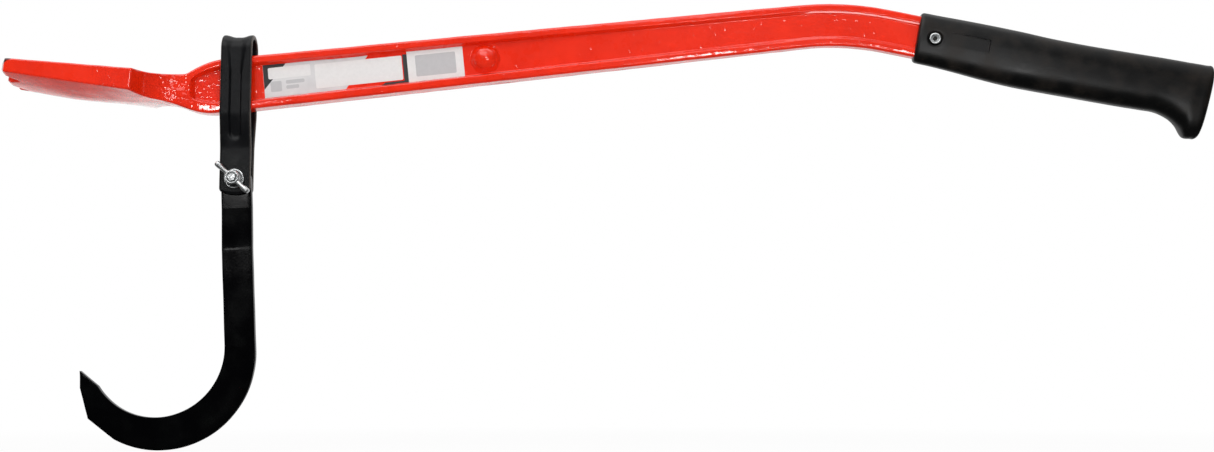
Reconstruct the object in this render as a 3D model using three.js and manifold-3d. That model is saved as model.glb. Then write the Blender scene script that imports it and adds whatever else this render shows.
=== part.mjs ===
// Felling lever with a sliding strap and a turning hook, as used to roll and free felled timber.
// X runs from the toothed blade to the grip, Z is up, and Y is across the lever. Lengths are in millimetres.
import * as THREE from "three";
import { mergeVertices } from "three/addons/utils/BufferGeometryUtils.js";
import Module from "manifold-3d";

const wasm = await Module();
wasm.setup();

const degree = Math.PI / 180;

// Fits that several pieces share.
const restGap = 0.3; // between faces that rest on each other
const slideGap = 0.5; // between each side of the shaft and the strap
const cutOverrun = 3; // how far a cutter passes the face that it cuts

// How finely round shapes are divided.
const arcStep = 5 * degree;
const roundSides = 28;

const blade = {
  length: 90,
  width: 72,
  drop: 6.2 * degree, // the blade falls from its tip to its heel
  tipThickness: 8.8,
  tipEase: 2.4, // worn off the tip's upper edge
  heelThickness: 13.8,
  tipBulge: 3.6, // the middle teeth reach this far past the outer ones
  notchCount: 3,
  notchPitch: 21.5,
  notchMouth: 12.5,
  notchDepth: 9,
  keelFromTip: 46, // where the rounded underside is deepest
  keelDrop: 8.6, // its middle line there, below the axis
  keelRound: 200,
  tipHull: 5.4, // how much lower the underside is in its middle than at its edges
  keelHull: 7.2,
  heelHull: 2.4,
};

const hullPower = 3; // how flat the middle of the underside is
const hullShares = [1, 0.86, 0.7, 0.5, 0.25]; // places across half of the underside

const neck = {
  length: 48, // from the blade's heel to the full depth of the shaft
  flatLength: 30.5, // the level stretch behind the blade
  flatHeight: 8.8, // its top, above the axis
  keelLength: 19, // how far the underside runs on behind the heel before it drops
  keelDrop: 11,
  shoulderRun: 9.2, // how far the shoulders lean in
  shoulderRound: 30,
  startWidth: 18,
  leanLength: 30, // where the sides are upright again
  settleLength: 35, // where its sides have come down to the shaft's thickness
  heelRound: 60,
  footRound: 8,
  browRound: 58,
  bellyLead: 7, // how far ahead of the shaft's start the belly turns
  bellyRound: 42,
};

const shaft = {
  rise: 6 * degree,
  length: 441,
  neckDepth: 37.6,
  bendDepth: 29.5,
  thickness: 14.6,
  slimThickness: 9.6, // from the bend to the end of the tang
  taperStart: 200.5, // from the shaft's start, just past the stop rivet
  taperEnd: 415.5,
  taperRound: 120,
  edgeRound: 1.5,
  flange: 5.4,
  neckFlange: 8.2, // the lower flange where the web begins
  flangeSettle: 42, // where the lower flange has come down to its usual depth
  web: 6,
  wallDraft: 0.8,
  leastDraftShare: 0.25, // of that, where the recess starts
  webStart: 33, // from the blade's heel
  webCorner: 4.6,
  webRunout: 4,
};

const handle = {
  drop: 11.6 * degree,
  bendRadius: 190,
  exposedLength: 51.6, // from the bend to the mouth of the grip
  tangLength: 150,
  webInside: 40, // the web's recess runs this far into the grip
};

const stop = {
  fromShaftStart: 190,
  padBase: 10.2,
  padTop: 8.8,
  padHeight: 3.1,
  headRadius: 7.3,
  headRim: 0.9,
  headCrown: 3.6,
  shankRadius: 4.2,
};

const grip = {
  length: 206.4,
  mouthRound: 2,
  plateLength: 27,
  plateHeight: 9.4,
  plateDepth: 0.8,
  plateFromMouth: 36.3,
  plateRise: 1.6,
  rivetFromMouth: 11.9,
  boreDepth: 1.3,
  boreRadius: 5.2,
  tangGap: 0.35,
  leanFromShare: 0.94, // from here on the grip leans under, towards its end
  endLean: 0.075,
};

// The grip's outline and thickness at places along it: [share of its length, top, bottom, half thickness].
const gripTopHeight = 18.2;
const gripBottomDepth = 20.4;
const gripHalfThickness = 11.6;
const gripStationShares = [
  [0.0, 0.955, 0.84, 0.7],
  [0.01, 0.985, 0.87, 0.728],
  [0.06, 0.99, 0.88, 0.745],
  [0.14, 1.005, 0.92, 0.79],
  [0.24, 1.01, 0.99, 0.87],
  [0.34, 1.0, 1.03, 0.95],
  [0.45, 0.965, 1.015, 1.0],
  [0.58, 0.98, 0.985, 1.0],
  [0.7, 1.03, 0.955, 1.0],
  [0.79, 1.07, 0.92, 1.0],
  [0.823, 1.085, 0.907, 1.0],
  [0.854, 1.095, 0.956, 1.0],
  [0.887, 1.105, 1.078, 1.01],
  [0.911, 1.11, 1.26, 1.02],
  [0.929, 1.12, 1.495, 1.03],
  [0.938, 1.125, 1.574, 1.03],
  [0.955, 1.13, 1.59, 1.03],
  [0.975, 1.135, 1.565, 1.03],
  [0.99, 1.145, 1.56, 0.99],
  [1.0, 0.98, 1.47, 0.87],
];
const gripSectionPoints = 24;
const gripSquareness = 2.7; // the power of the rounded section: 2 is an ellipse, and more is squarer

const gripRivet = {
  rimRadius: 4,
  rimHeight: 1.1,
  tubeRadius: 2.5,
  boreRadius: 1.7,
  flareRadius: 2.4,
  flareDepth: 1.2,
};

const strap = {
  fromHeel: 65.7, // its middle, from the blade's heel
  boltDrop: 47.6, // the bolt, below the underside of the shaft
  loopHeight: 98.4, // from the bolt to the inside of the bend
  width: 21.4,
  thickness: 3.2,
  edge: 0.9,
  tailBelowBolt: 10.8,
  tailRadius: 23,
  pinchTop: 45, // the legs close in between these heights above the bolt
  pinchBottom: 22,
  grooveWidth: 8.6,
  grooveDepth: 1.4,
  grooveEnd: 27.5, // above the bolt
  grooveRunout: 5,
};

const hook = {
  lean: 3.1 * degree,
  width: 20.8,
  thickness: 5.5,
  edge: 0.8,
  headRadius: 10.4,
  creaseDrop: 19.8, // where the joggle starts, below the bolt
  joggleDrop: 48, // where it ends
  joggleRound: 3,
  joggle: 3.2,
  outerDrop: 117.9,
  outerRadius: 64.3,
  outerEnd: 121 * degree,
  innerDrop: 113.5,
  innerRadius: 46.3,
  innerEnd: 150.5 * degree,
  wornWidth: 3.3, // the ground edge along the back of the curve
  wornDepth: 1.1,
  wornStart: 20 * degree,
};

// The point's corners from the bolt, as [across, down].
const hookHeel = [104.2, 158.3];
const hookBevel = [109, 137.2];
const hookPoint = [108.7, 125.7];
const hookPointWidth = 1.2;

const bolt = {
  radius: 3,
  headRadius: 6.8,
  headRim: 0.7,
  headCrown: 2.8,
  neckWidth: 5.9,
  neckLength: 3,
  pastNut: 0.6,
};

const washer = {
  radius: 6.7,
  thickness: 1.3,
};

const nut = {
  turn: 42.5 * degree,
  baseRadius: 5.9,
  topRadius: 4.6,
  height: 7.6,
  wingReach: 12.7, // from the axis to the middle of a wing's round tip
  wingRoot: 1.6,
  wingLift: 5.4, // the tip's middle, from the seat of the nut
  wingThickness: 2.3,
  tipRadius: 3,
  tipThickness: 3.6,
};

const colours = {
  enamel: 0xe8381c,
  coating: 0x232426,
  gloss: 0x17181a,
  rubber: 0x1d1d1e,
  zinc: 0xc9cbcd,
};

// Shapes.

// A line through corners [x, y, radius], each rounded by its radius, as points in order.
function roundedLine(corners) {
  const line = [];
  corners.forEach(([x, y, radius = 0], i) => {
    const corner = new THREE.Vector2(x, y);
    if (!radius || i === 0 || i === corners.length - 1) {
      line.push(corner);
      return;
    }
    const before = new THREE.Vector2(corners[i - 1][0], corners[i - 1][1]);
    const after = new THREE.Vector2(corners[i + 1][0], corners[i + 1][1]);
    const along = corner.clone().sub(before).normalize();
    const onward = after.clone().sub(corner).normalize();
    const turn = Math.atan2(along.cross(onward), along.dot(onward));
    const start = corner.clone().addScaledVector(along, -radius * Math.tan(Math.abs(turn) / 2));
    const side = new THREE.Vector2(-along.y, along.x).multiplyScalar(Math.sign(turn) * radius);
    const centre = start.clone().add(side);
    const steps = Math.max(2, Math.ceil(Math.abs(turn) / arcStep));
    for (let k = 0; k <= steps; k++) {
      line.push(start.clone().rotateAround(centre, (turn * k) / steps));
    }
  });
  return line;
}

// The height of a left-to-right line at a place along it; past its ends it runs on straight.
function heightAt(line, x) {
  let i = 1;
  while (i < line.length - 1 && line[i].x < x) {
    i++;
  }
  const [a, b] = [line[i - 1], line[i]];
  return a.y + ((b.y - a.y) * (x - a.x)) / (b.x - a.x);
}

// A closed solid over rings of points, each ring with as many points as the last.
function loft(rings) {
  const count = rings[0].length;
  const points = rings.flat();
  const faces = [];
  for (let i = 0; i < rings.length - 1; i++) {
    for (let j = 0; j < count; j++) {
      const a = i * count + j;
      const b = i * count + ((j + 1) % count);
      faces.push(a, b, b + count, a, b + count, a + count);
    }
  }
  [0, rings.length - 1].forEach((i) => {
    const middle = points.length;
    const sum = rings[i].reduce((total, p) => total.add(p), new THREE.Vector3());
    points.push(sum.divideScalar(count));
    for (let j = 0; j < count; j++) {
      const a = i * count + j;
      const b = i * count + ((j + 1) % count);
      faces.push(...(i ? [a, b, middle] : [b, a, middle]));
    }
  });
  const geometry = new THREE.BufferGeometry().setFromPoints(points);
  geometry.setIndex(faces);
  return solidOf(geometry);
}

// A three.js geometry as a solid for cutting and joining, turned inside out if its faces point inwards.
function solidOf(geometry) {
  const bare = geometry.clone();
  bare.deleteAttribute("normal");
  bare.deleteAttribute("uv");
  const merged = mergeVertices(bare, 1e-4);
  const vertProperties = new Float32Array(merged.getAttribute("position").array);
  const triVerts = new Uint32Array(merged.index.array);
  const solid = new wasm.Manifold(new wasm.Mesh({ numProp: 3, vertProperties, triVerts }));
  if (solid.volume() > 0) {
    return solid;
  }
  return new wasm.Manifold(new wasm.Mesh({ numProp: 3, vertProperties, triVerts: triVerts.reverse() }));
}

// A named mesh from a solid.
function meshOf(name, solid, colour, metalness, roughness) {
  const { vertProperties, triVerts } = solid.getMesh();
  const geometry = new THREE.BufferGeometry();
  geometry.setAttribute("position", new THREE.BufferAttribute(new Float32Array(vertProperties), 3));
  geometry.setIndex(new THREE.BufferAttribute(new Uint32Array(triVerts), 1));
  const material = new THREE.MeshStandardMaterial({ color: colour, metalness, roughness, flatShading: true });
  const mesh = new THREE.Mesh(geometry, material);
  mesh.name = name;
  return mesh;
}

// A solid turned about the Y axis from a profile of [radius, y] points; positive Y points away from the wing nut.
function turned(profile, sides = roundSides) {
  const points = profile.map(([radius, y]) => new THREE.Vector2(radius, y));
  return solidOf(new THREE.LatheGeometry(points, sides));
}

// A round bar along Y, moved to a place in the XZ plane.
function roundBar(radius, fromY, toY, place = [0, 0]) {
  const geometry = new THREE.CylinderGeometry(radius, radius, toY - fromY, roundSides);
  geometry.translate(place[0], (fromY + toY) / 2, place[1]);
  return solidOf(geometry);
}

// Points of a crown from its rim to the axis, for a turned head.
function crown(radius, rimY, rise) {
  const sphere = (radius * radius + rise * rise) / (2 * Math.abs(rise));
  const spread = Math.asin(radius / sphere);
  const steps = Math.ceil(spread / (2 * arcStep));
  return Array.from({ length: steps + 1 }, (_, k) => {
    const angle = spread * (1 - k / steps);
    const lift = sphere * (Math.cos(angle) - Math.cos(spread));
    return [sphere * Math.sin(angle), rimY + Math.sign(rise) * lift];
  });
}

// The lever's lines. X starts at the tip's middle, and Z at the start of the shaft's axis.
const heelX = blade.length;
const shaftStart = new THREE.Vector2(heelX + neck.length, 0);
const bendCentre = shaftStart
  .clone()
  .add(new THREE.Vector2(shaft.length, 0).rotateAround(new THREE.Vector2(), shaft.rise));
const handleAlong = new THREE.Vector2(Math.cos(handle.drop), -Math.sin(handle.drop));
const mouthCentre = bendCentre.clone().addScaledVector(handleAlong, handle.exposedLength);
const tangEnd = mouthCentre.clone().addScaledVector(handleAlong, handle.tangLength);
const tipLift = blade.length * Math.tan(blade.drop);

const bellyPlace = shaftStart
  .clone()
  .sub(new THREE.Vector2(neck.bellyLead, 0).rotateAround(new THREE.Vector2(), shaft.rise));

// A corner of the shaft's edge, at a distance square to the mean of the two directions that meet there.
function edgeCorner(place, before, after, offset, radius) {
  const square = (before + after) / 2 + Math.PI / 2;
  const reach = offset / Math.cos((before - after) / 2);
  return [place.x + reach * Math.cos(square), place.y + reach * Math.sin(square), radius];
}

const topLine = roundedLine([
  [0, tipLift + blade.tipThickness / 2 - blade.tipEase],
  [blade.tipBulge, tipLift + blade.tipThickness / 2 - blade.tipEase],
  [blade.tipBulge + blade.tipEase, tipLift + blade.tipThickness / 2, blade.tipEase],
  [heelX, blade.heelThickness / 2, neck.heelRound],
  [heelX + neck.flatLength, neck.flatHeight, neck.footRound],
  edgeCorner(shaftStart, shaft.rise, shaft.rise, shaft.neckDepth / 2, neck.browRound),
  edgeCorner(bendCentre, shaft.rise, -handle.drop, shaft.bendDepth / 2, handle.bendRadius + shaft.bendDepth / 2),
  edgeCorner(tangEnd, -handle.drop, -handle.drop, shaft.bendDepth / 2),
]);
const bottomLine = roundedLine([
  [0, tipLift - blade.tipThickness / 2 - blade.tipHull],
  [blade.keelFromTip, -blade.keelDrop, blade.keelRound],
  [heelX + neck.keelLength, -neck.keelDrop, neck.heelRound],
  edgeCorner(bellyPlace, shaft.rise, shaft.rise, -shaft.neckDepth / 2, neck.bellyRound),
  edgeCorner(bendCentre, shaft.rise, -handle.drop, -shaft.bendDepth / 2, handle.bendRadius - shaft.bendDepth / 2),
  edgeCorner(tangEnd, -handle.drop, -handle.drop, -shaft.bendDepth / 2),
]);
// How much higher the underside is at the blade's edges than in its middle.
const hullLine = roundedLine([
  [0, blade.tipHull],
  [blade.keelFromTip, blade.keelHull, blade.keelRound],
  [heelX, blade.heelHull],
  [shaftStart.x, 0],
  [tangEnd.x, 0],
]);
const sideLine = roundedLine([
  [0, blade.width / 2],
  [heelX, blade.width / 2],
  [heelX + neck.shoulderRun, neck.startWidth / 2, neck.shoulderRound],
  [heelX + neck.settleLength, shaft.thickness / 2, neck.browRound],
  [shaftStart.x + shaft.taperStart, shaft.thickness / 2, shaft.taperRound],
  [shaftStart.x + shaft.taperEnd, shaft.slimThickness / 2, shaft.taperRound],
  [tangEnd.x, shaft.slimThickness / 2],
]);

const webFrom = heelX + shaft.webStart;
const webTo = mouthCentre.x + handle.webInside;

// The recess beside the web at a place along the lever: its upper and lower edges and its depth.
function webRecess(x) {
  const top = heightAt(topLine, x);
  const bottom = heightAt(bottomLine, x);
  const inside = Math.min(x - webFrom, webTo - x);
  if (inside < 0) {
    const third = (top - bottom) / 3;
    return { upper: top - third, lower: bottom + third, depth: 0, draft: shaft.wallDraft };
  }
  const settled = THREE.MathUtils.clamp((x - webFrom) / shaft.flangeSettle, 0, 1);
  const away = Math.max(shaft.webCorner - inside, 0);
  const corner = shaft.webCorner - Math.sqrt(shaft.webCorner ** 2 - away ** 2);
  const full = heightAt(sideLine, x) - shaft.web / 2;
  const sunk = Math.min(inside / shaft.webRunout, 1);
  return {
    upper: top - shaft.flange - corner,
    lower: bottom + THREE.MathUtils.lerp(shaft.neckFlange, shaft.flange, settled) + corner,
    depth: full * sunk,
    draft: shaft.wallDraft * Math.max(sunk, shaft.leastDraftShare),
  };
}

// The height of the lever's underside, which is rounded like a hull under the blade.
function underside(x, y) {
  const across = Math.min(Math.abs(y) / (blade.width / 2), 1);
  return heightAt(bottomLine, x) + heightAt(hullLine, x) * across ** hullPower;
}

// One ring of the lever, square to the blade's own plane near the tip and square to X behind it. With a gap it is a plain bar that much larger, for the grip's pocket.
function leverRing(x, gap = 0) {
  const top = heightAt(topLine, x) + gap;
  const half = heightAt(sideLine, x) + gap;
  const bottom = underside(x, half) - gap;
  const upright = THREE.MathUtils.clamp((x - heelX) / neck.leanLength, 0, 1);
  const lean = Math.tan(blade.drop) * (1 - upright);
  const web = webRecess(x);
  const depth = gap ? 0 : web.depth;
  const round = shaft.edgeRound;
  const mid = round * (1 - Math.SQRT1_2);
  const side = [
    [half - round, top],
    [half - mid, top - mid],
    [half, top - round],
    [half, web.upper],
    [half - depth, web.upper - web.draft],
    [half - depth, web.lower + web.draft],
    [half, web.lower],
    [half, bottom + round],
    [half - mid, bottom + mid],
    ...hullShares.map((share) => [share * (half - round), underside(x, share * (half - round)) - gap]),
  ];
  const mirrored = side.map(([y, z]) => [-y, z]).reverse();
  return [...side, ...mirrored].map(([y, z]) => new THREE.Vector3(x + lean * (z - bottom), y, z));
}

// The places along the lever that need a ring, in order and not too close.
function leverStations() {
  const ends = [webFrom, webTo];
  const corners = ends.flatMap((end, i) => {
    const inwards = i ? -1 : 1;
    const places = [0, 0.06, 0.25, 0.55, 1].map((share) => end + inwards * share * shaft.webCorner);
    return [...places, end + inwards * shaft.webRunout];
  });
  const all = [...topLine, ...bottomLine, ...sideLine, ...hullLine].map((p) => p.x);
  const sorted = [...all, ...corners].filter((x) => x >= 0 && x <= tangEnd.x).sort((a, b) => a - b);
  const closest = shaft.edgeRound / 6;
  return sorted.filter((x, i) => i === 0 || x - sorted[i - 1] > closest);
}

// The blade's plan: a bowed tip with notches between its teeth, open-ended towards the shaft.
function bladePlan() {
  const half = blade.width / 2;
  const bow = (y) => blade.tipBulge * (y / half) ** 2;
  const outline = [[tangEnd.x + cutOverrun, -half - cutOverrun], [bow(half), -half - cutOverrun], [bow(half), -half]];
  for (let i = 0; i < blade.notchCount; i++) {
    const y = (i - (blade.notchCount - 1) / 2) * blade.notchPitch;
    const near = y - blade.notchMouth / 2;
    const far = y + blade.notchMouth / 2;
    outline.push([bow(near), near], [bow(y) + blade.notchDepth, y], [bow(far), far]);
  }
  outline.push([bow(half), half], [bow(half), half + cutOverrun], [tangEnd.x + cutOverrun, half + cutOverrun]);
  return new THREE.Shape(outline.map(([x, y]) => new THREE.Vector2(x, y)));
}

const stopPlace = shaftStart
  .clone()
  .add(new THREE.Vector2(stop.fromShaftStart, 0).rotateAround(new THREE.Vector2(), shaft.rise));
const rivetPlace = mouthCentre.clone().addScaledVector(handleAlong, grip.rivetFromMouth);
const padFace = shaft.web / 2 + stop.padHeight;

function makeLever() {
  const bar = loft(leverStations().map((x) => leverRing(x)));
  const lowest = -shaft.neckDepth;
  const highest = bendCentre.y + shaft.neckDepth;
  const plan = new THREE.ExtrudeGeometry(bladePlan(), { depth: highest - lowest, bevelEnabled: false });
  plan.translate(0, 0, lowest);
  const pads = turned([
    [0, -padFace],
    [stop.padTop, -padFace],
    [stop.padBase, -shaft.web / 2],
    [stop.padBase, shaft.web / 2],
    [stop.padTop, padFace],
    [0, padFace],
  ]).translate([stopPlace.x, 0, stopPlace.y]);
  const stopHole = roundBar(
    stop.shankRadius + restGap,
    -padFace - cutOverrun,
    padFace + cutOverrun,
    [stopPlace.x, stopPlace.y],
  );
  const rivetHole = roundBar(
    gripRivet.tubeRadius + restGap,
    -shaft.thickness,
    shaft.thickness,
    [rivetPlace.x, rivetPlace.y],
  );
  const solid = bar.intersect(solidOf(plan)).add(pads).subtract(stopHole).subtract(rivetHole);
  return meshOf("lever", solid, colours.enamel, 0.1, 0.4);
}

function makeStopRivet() {
  const seat = padFace + restGap;
  const rim = seat + stop.headRim;
  const half = [
    [stop.shankRadius, seat],
    [stop.headRadius, seat],
    ...crown(stop.headRadius, rim, stop.headCrown),
  ];
  const other = half.map(([radius, y]) => [radius, -y]).reverse();
  const mesh = meshOf("stop_rivet", turned([...other, ...half]), colours.enamel, 0.1, 0.4);
  mesh.position.set(stopPlace.x, 0, stopPlace.y);
  return mesh;
}

// The grip, in its own frame: X along it from its mouth, Z square to it, and Y across.
function gripRing([share, top, bottom, thickness]) {
  const x = share * grip.length;
  const high = top * gripTopHeight;
  const low = -bottom * gripBottomDepth;
  const half = thickness * gripHalfThickness;
  return Array.from({ length: gripSectionPoints }, (_, i) => {
    const angle = (2 * Math.PI * i) / gripSectionPoints;
    const bow = (value) => Math.sign(value) * Math.abs(value) ** (2 / gripSquareness);
    const y = half * bow(Math.cos(angle));
    const z = (high + low) / 2 + ((high - low) / 2) * bow(Math.sin(angle));
    const lean = THREE.MathUtils.clamp((share - grip.leanFromShare) / (1 - grip.leanFromShare), 0, 1);
    return new THREE.Vector3(x - grip.endLean * lean * (high - z), y, z);
  });
}

// Half the grip's thickness at a distance from its mouth.
function gripHalfAt(x) {
  const line = gripStationShares.map(([share, , , thickness]) => {
    return new THREE.Vector2(share * grip.length, thickness * gripHalfThickness);
  });
  return heightAt(line, x);
}

const boreFloor = gripHalfAt(grip.rivetFromMouth) - grip.boreDepth;

function makeGrip() {
  const body = loft(gripStationShares.map(gripRing));
  const pocketFrom = mouthCentre.x - shaft.neckDepth;
  const pocketTo = tangEnd.x + grip.tangGap;
  const places = [...topLine, ...bottomLine].map((p) => p.x).filter((x) => x > pocketFrom && x < tangEnd.x);
  const stations = [pocketFrom, ...places.sort((a, b) => a - b), pocketTo];
  const apart = stations.filter((x, i) => i === 0 || x - stations[i - 1] > grip.tangGap);
  const pocket = loft(apart.map((x) => leverRing(x, grip.tangGap)))
    .translate([-mouthCentre.x, 0, -mouthCentre.y])
    .rotate([0, -handle.drop / degree, 0]);
  const place = [grip.rivetFromMouth, 0];
  const through = gripHalfThickness + cutOverrun;
  const hole = roundBar(gripRivet.tubeRadius + restGap, -through, through, place);
  const bores = [-1, 1].map((side) => {
    const ends = [side * boreFloor, side * through].sort((a, b) => a - b);
    return roundBar(grip.boreRadius, ends[0], ends[1], place);
  });
  const plateFloor = gripHalfAt(grip.plateFromMouth) - grip.plateDepth;
  const plate = new THREE.BoxGeometry(grip.plateLength, cutOverrun, grip.plateHeight);
  plate.translate(grip.plateFromMouth, -plateFloor - cutOverrun / 2, grip.plateRise);
  const cutters = [pocket, hole, ...bores, solidOf(plate)];
  const solid = cutters.reduce((left, cutter) => left.subtract(cutter), body);
  return meshOf("grip", solid, colours.rubber, 0, 0.55);
}

function makeGripRivet() {
  const seat = boreFloor + restGap;
  const face = seat + gripRivet.rimHeight;
  const half = [
    [gripRivet.tubeRadius, seat],
    [gripRivet.rimRadius, seat],
    [gripRivet.rimRadius, (seat + face) / 2],
    [(gripRivet.rimRadius + gripRivet.flareRadius) / 2, face],
    [gripRivet.flareRadius, (seat + face) / 2],
    [gripRivet.boreRadius, seat - gripRivet.flareDepth],
  ];
  const other = half.map(([radius, y]) => [radius, -y]).reverse();
  const profile = [...other, ...half];
  const solid = turned([...profile, profile[0]]);
  const mesh = meshOf("grip_rivet", solid, colours.zinc, 0.9, 0.3);
  mesh.position.x = grip.rivetFromMouth;
  return mesh;
}

// The strap, hook, bolt, washer and nut, in a frame at the bolt's axis.
const boltPlace = new THREE.Vector2(
  heelX + strap.fromHeel,
  heightAt(bottomLine, heelX + strap.fromHeel) - strap.boltDrop,
);
const loopHalf = shaft.thickness / 2 + slideGap; // inside of a leg beside the shaft
const pinchHalf = hook.thickness / 2 + restGap; // inside of a leg beside the hook
const legFace = pinchHalf + strap.thickness; // outside of a leg at the bolt

// The strap's middle line in the YZ plane, from its front tail over the shaft to its back tail.
function strapPath() {
  const half = strap.thickness / 2;
  const bendHeight = strap.loopHeight - loopHalf;
  const tail = -strap.tailBelowBolt - cutOverrun;
  const leg = roundedLine([
    [tail, pinchHalf + half],
    [strap.pinchBottom, pinchHalf + half, strap.pinchBottom],
    [strap.pinchTop, loopHalf + half, strap.pinchBottom],
    [bendHeight, loopHalf + half],
  ]);
  const groove = [strap.grooveEnd, strap.grooveEnd + strap.grooveRunout];
  const heights = [...leg.map((p) => p.x), ...groove].sort((a, b) => a - b);
  const front = heights.map((z) => new THREE.Vector2(-heightAt(leg, z), z));
  const steps = Math.round(Math.PI / (2 * arcStep));
  const bend = Array.from({ length: steps - 1 }, (_, k) => {
    const angle = Math.PI * (1 - (k + 1) / steps);
    return new THREE.Vector2(Math.cos(angle), Math.sin(angle))
      .multiplyScalar(loopHalf + half)
      .add(new THREE.Vector2(0, bendHeight));
  });
  const back = front.map((p) => new THREE.Vector2(-p.x, p.y)).reverse();
  return [...front, ...bend, ...back];
}

// The strap's width from the front: straight sides and a shallow round tail.
function strapOutline() {
  const half = strap.width / 2 + cutOverrun;
  const shape = new THREE.Shape();
  const centre = strap.tailRadius - strap.tailBelowBolt;
  const spread = Math.asin(half / strap.tailRadius);
  shape.absarc(0, centre, strap.tailRadius, -Math.PI / 2 - spread, -Math.PI / 2 + spread, false);
  shape.lineTo(half, strap.loopHeight + strap.width);
  shape.lineTo(-half, strap.loopHeight + strap.width);
  return shape;
}

function makeStrap() {
  const path = strapPath();
  const half = strap.thickness / 2;
  const wide = strap.width / 2;
  const dipHalf = strap.grooveWidth / 2;
  const rings = path.map((p, i) => {
    const before = path[Math.max(i - 1, 0)];
    const after = path[Math.min(i + 1, path.length - 1)];
    const along = after.clone().sub(before).normalize();
    const outward = new THREE.Vector2(-along.y, along.x);
    const started = THREE.MathUtils.clamp((p.y - strap.grooveEnd) / strap.grooveRunout, 0, 1);
    const dip = strap.grooveDepth * started;
    const section = [
      [-wide, strap.edge - half],
      [-wide, half - strap.edge],
      [strap.edge - wide, half],
      [-dipHalf, half],
      [-dipHalf / 2, half - dip],
      [dipHalf / 2, half - dip],
      [dipHalf, half],
      [wide - strap.edge, half],
      [wide, half - strap.edge],
      [wide, strap.edge - half],
      [wide - strap.edge, -half],
      [strap.edge - wide, -half],
    ];
    return section.map(([x, out]) => {
      return new THREE.Vector3(x, p.x + out * outward.x, p.y + out * outward.y);
    });
  });
  const depth = 2 * (loopHalf + strap.thickness) + 2 * cutOverrun;
  const outline = new THREE.ExtrudeGeometry(strapOutline(), { depth, bevelEnabled: false, curveSegments: 8 });
  outline.translate(0, 0, -depth / 2);
  outline.rotateX(Math.PI / 2);
  const roundHole = roundBar(bolt.radius + restGap, -legFace - cutOverrun, 0);
  const squareSide = bolt.neckWidth + 2 * restGap;
  const squareHole = new THREE.BoxGeometry(squareSide, legFace + cutOverrun, squareSide);
  squareHole.translate(0, (legFace + cutOverrun) / 2, 0);
  const solid = loft(rings).intersect(solidOf(outline)).subtract(roundHole).subtract(solidOf(squareHole));
  return meshOf("hook_strap", solid, colours.coating, 0.3, 0.45);
}

// A ring of the hook between an outer and an inner place in the XZ plane.
function hookRing(outer, inner, y, worn) {
  const back = outer.clone().sub(inner);
  const width = back.length();
  back.normalize();
  const half = hook.thickness / 2;
  const edge = Math.min(hook.edge, width / 4);
  const wornWidth = THREE.MathUtils.lerp(edge, Math.min(hook.wornWidth, width / 3), worn);
  const wornDepth = THREE.MathUtils.lerp(edge, hook.wornDepth, worn);
  const section = [
    [edge, -half],
    [0, edge - half],
    [0, half - edge],
    [edge, half],
    [width - edge, half],
    [width, half - edge],
    [width, wornDepth - half],
    [width - wornWidth, -half],
  ];
  return section.map(([across, deep]) => {
    return new THREE.Vector3(inner.x + across * back.x, y + deep, inner.y + across * back.y);
  });
}

// How far the hook's plate stands forward of the bolt's middle at a height.
const joggleLine = roundedLine([
  [-hook.outerDrop, -hook.joggle],
  [-hook.joggleDrop, -hook.joggle, hook.joggleRound * hook.thickness],
  [-hook.creaseDrop, 0],
  [hook.headRadius, 0],
]);

function hookRings() {
  const half = hook.width / 2;
  const rings = [];
  const headSteps = 6;
  for (let k = 0; k <= headSteps; k++) {
    const angle = (Math.PI / 2) * (1 - 0.12) * (1 - k / headSteps);
    const [x, z] = [hook.headRadius * Math.cos(angle), hook.headRadius * Math.sin(angle)];
    rings.push(hookRing(new THREE.Vector2(x, z), new THREE.Vector2(-x, z), 0, 0));
  }
  const heights = joggleLine.map((p) => p.x).filter((z) => z < 0 && z > -hook.outerDrop);
  heights.sort((a, b) => b - a).forEach((z) => {
    const y = heightAt(joggleLine, z);
    rings.push(hookRing(new THREE.Vector2(half, z), new THREE.Vector2(-half, z), y, 0));
  });
  const outerCentre = new THREE.Vector2(half - hook.outerRadius, -hook.outerDrop);
  const innerCentre = new THREE.Vector2(-half - hook.innerRadius, -hook.innerDrop);
  const steps = Math.ceil(hook.innerEnd / arcStep);
  for (let k = 0; k <= steps; k++) {
    const share = k / steps;
    const outerAngle = -hook.outerEnd * share;
    const innerAngle = -hook.innerEnd * share;
    const outer = new THREE.Vector2(hook.outerRadius, 0)
      .rotateAround(new THREE.Vector2(), outerAngle)
      .add(outerCentre);
    const inner = new THREE.Vector2(hook.innerRadius, 0)
      .rotateAround(new THREE.Vector2(), innerAngle)
      .add(innerCentre);
    const worn = THREE.MathUtils.smoothstep(-outerAngle, 0, hook.wornStart);
    rings.push(hookRing(outer, inner, -hook.joggle, worn));
  }
  const point = new THREE.Vector2(-hookPoint[0], -hookPoint[1]);
  const innerEnd = new THREE.Vector2(hook.innerRadius, 0)
    .rotateAround(new THREE.Vector2(), -hook.innerEnd)
    .add(innerCentre);
  const heel = new THREE.Vector2(-hookHeel[0], -hookHeel[1]);
  const bevel = new THREE.Vector2(-hookBevel[0], -hookBevel[1]);
  const towards = point.clone().sub(innerEnd);
  const innerMid = innerEnd.clone().addScaledVector(towards, 1 / 3);
  const innerLate = innerEnd.clone().addScaledVector(towards, 2 / 3);
  const apart = bevel.clone().sub(point).setLength(hookPointWidth);
  rings.push(hookRing(heel, innerMid, -hook.joggle, 1));
  rings.push(hookRing(bevel, innerLate, -hook.joggle, 0));
  rings.push(hookRing(point.clone().add(apart), point, -hook.joggle, 0));
  return rings;
}

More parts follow.
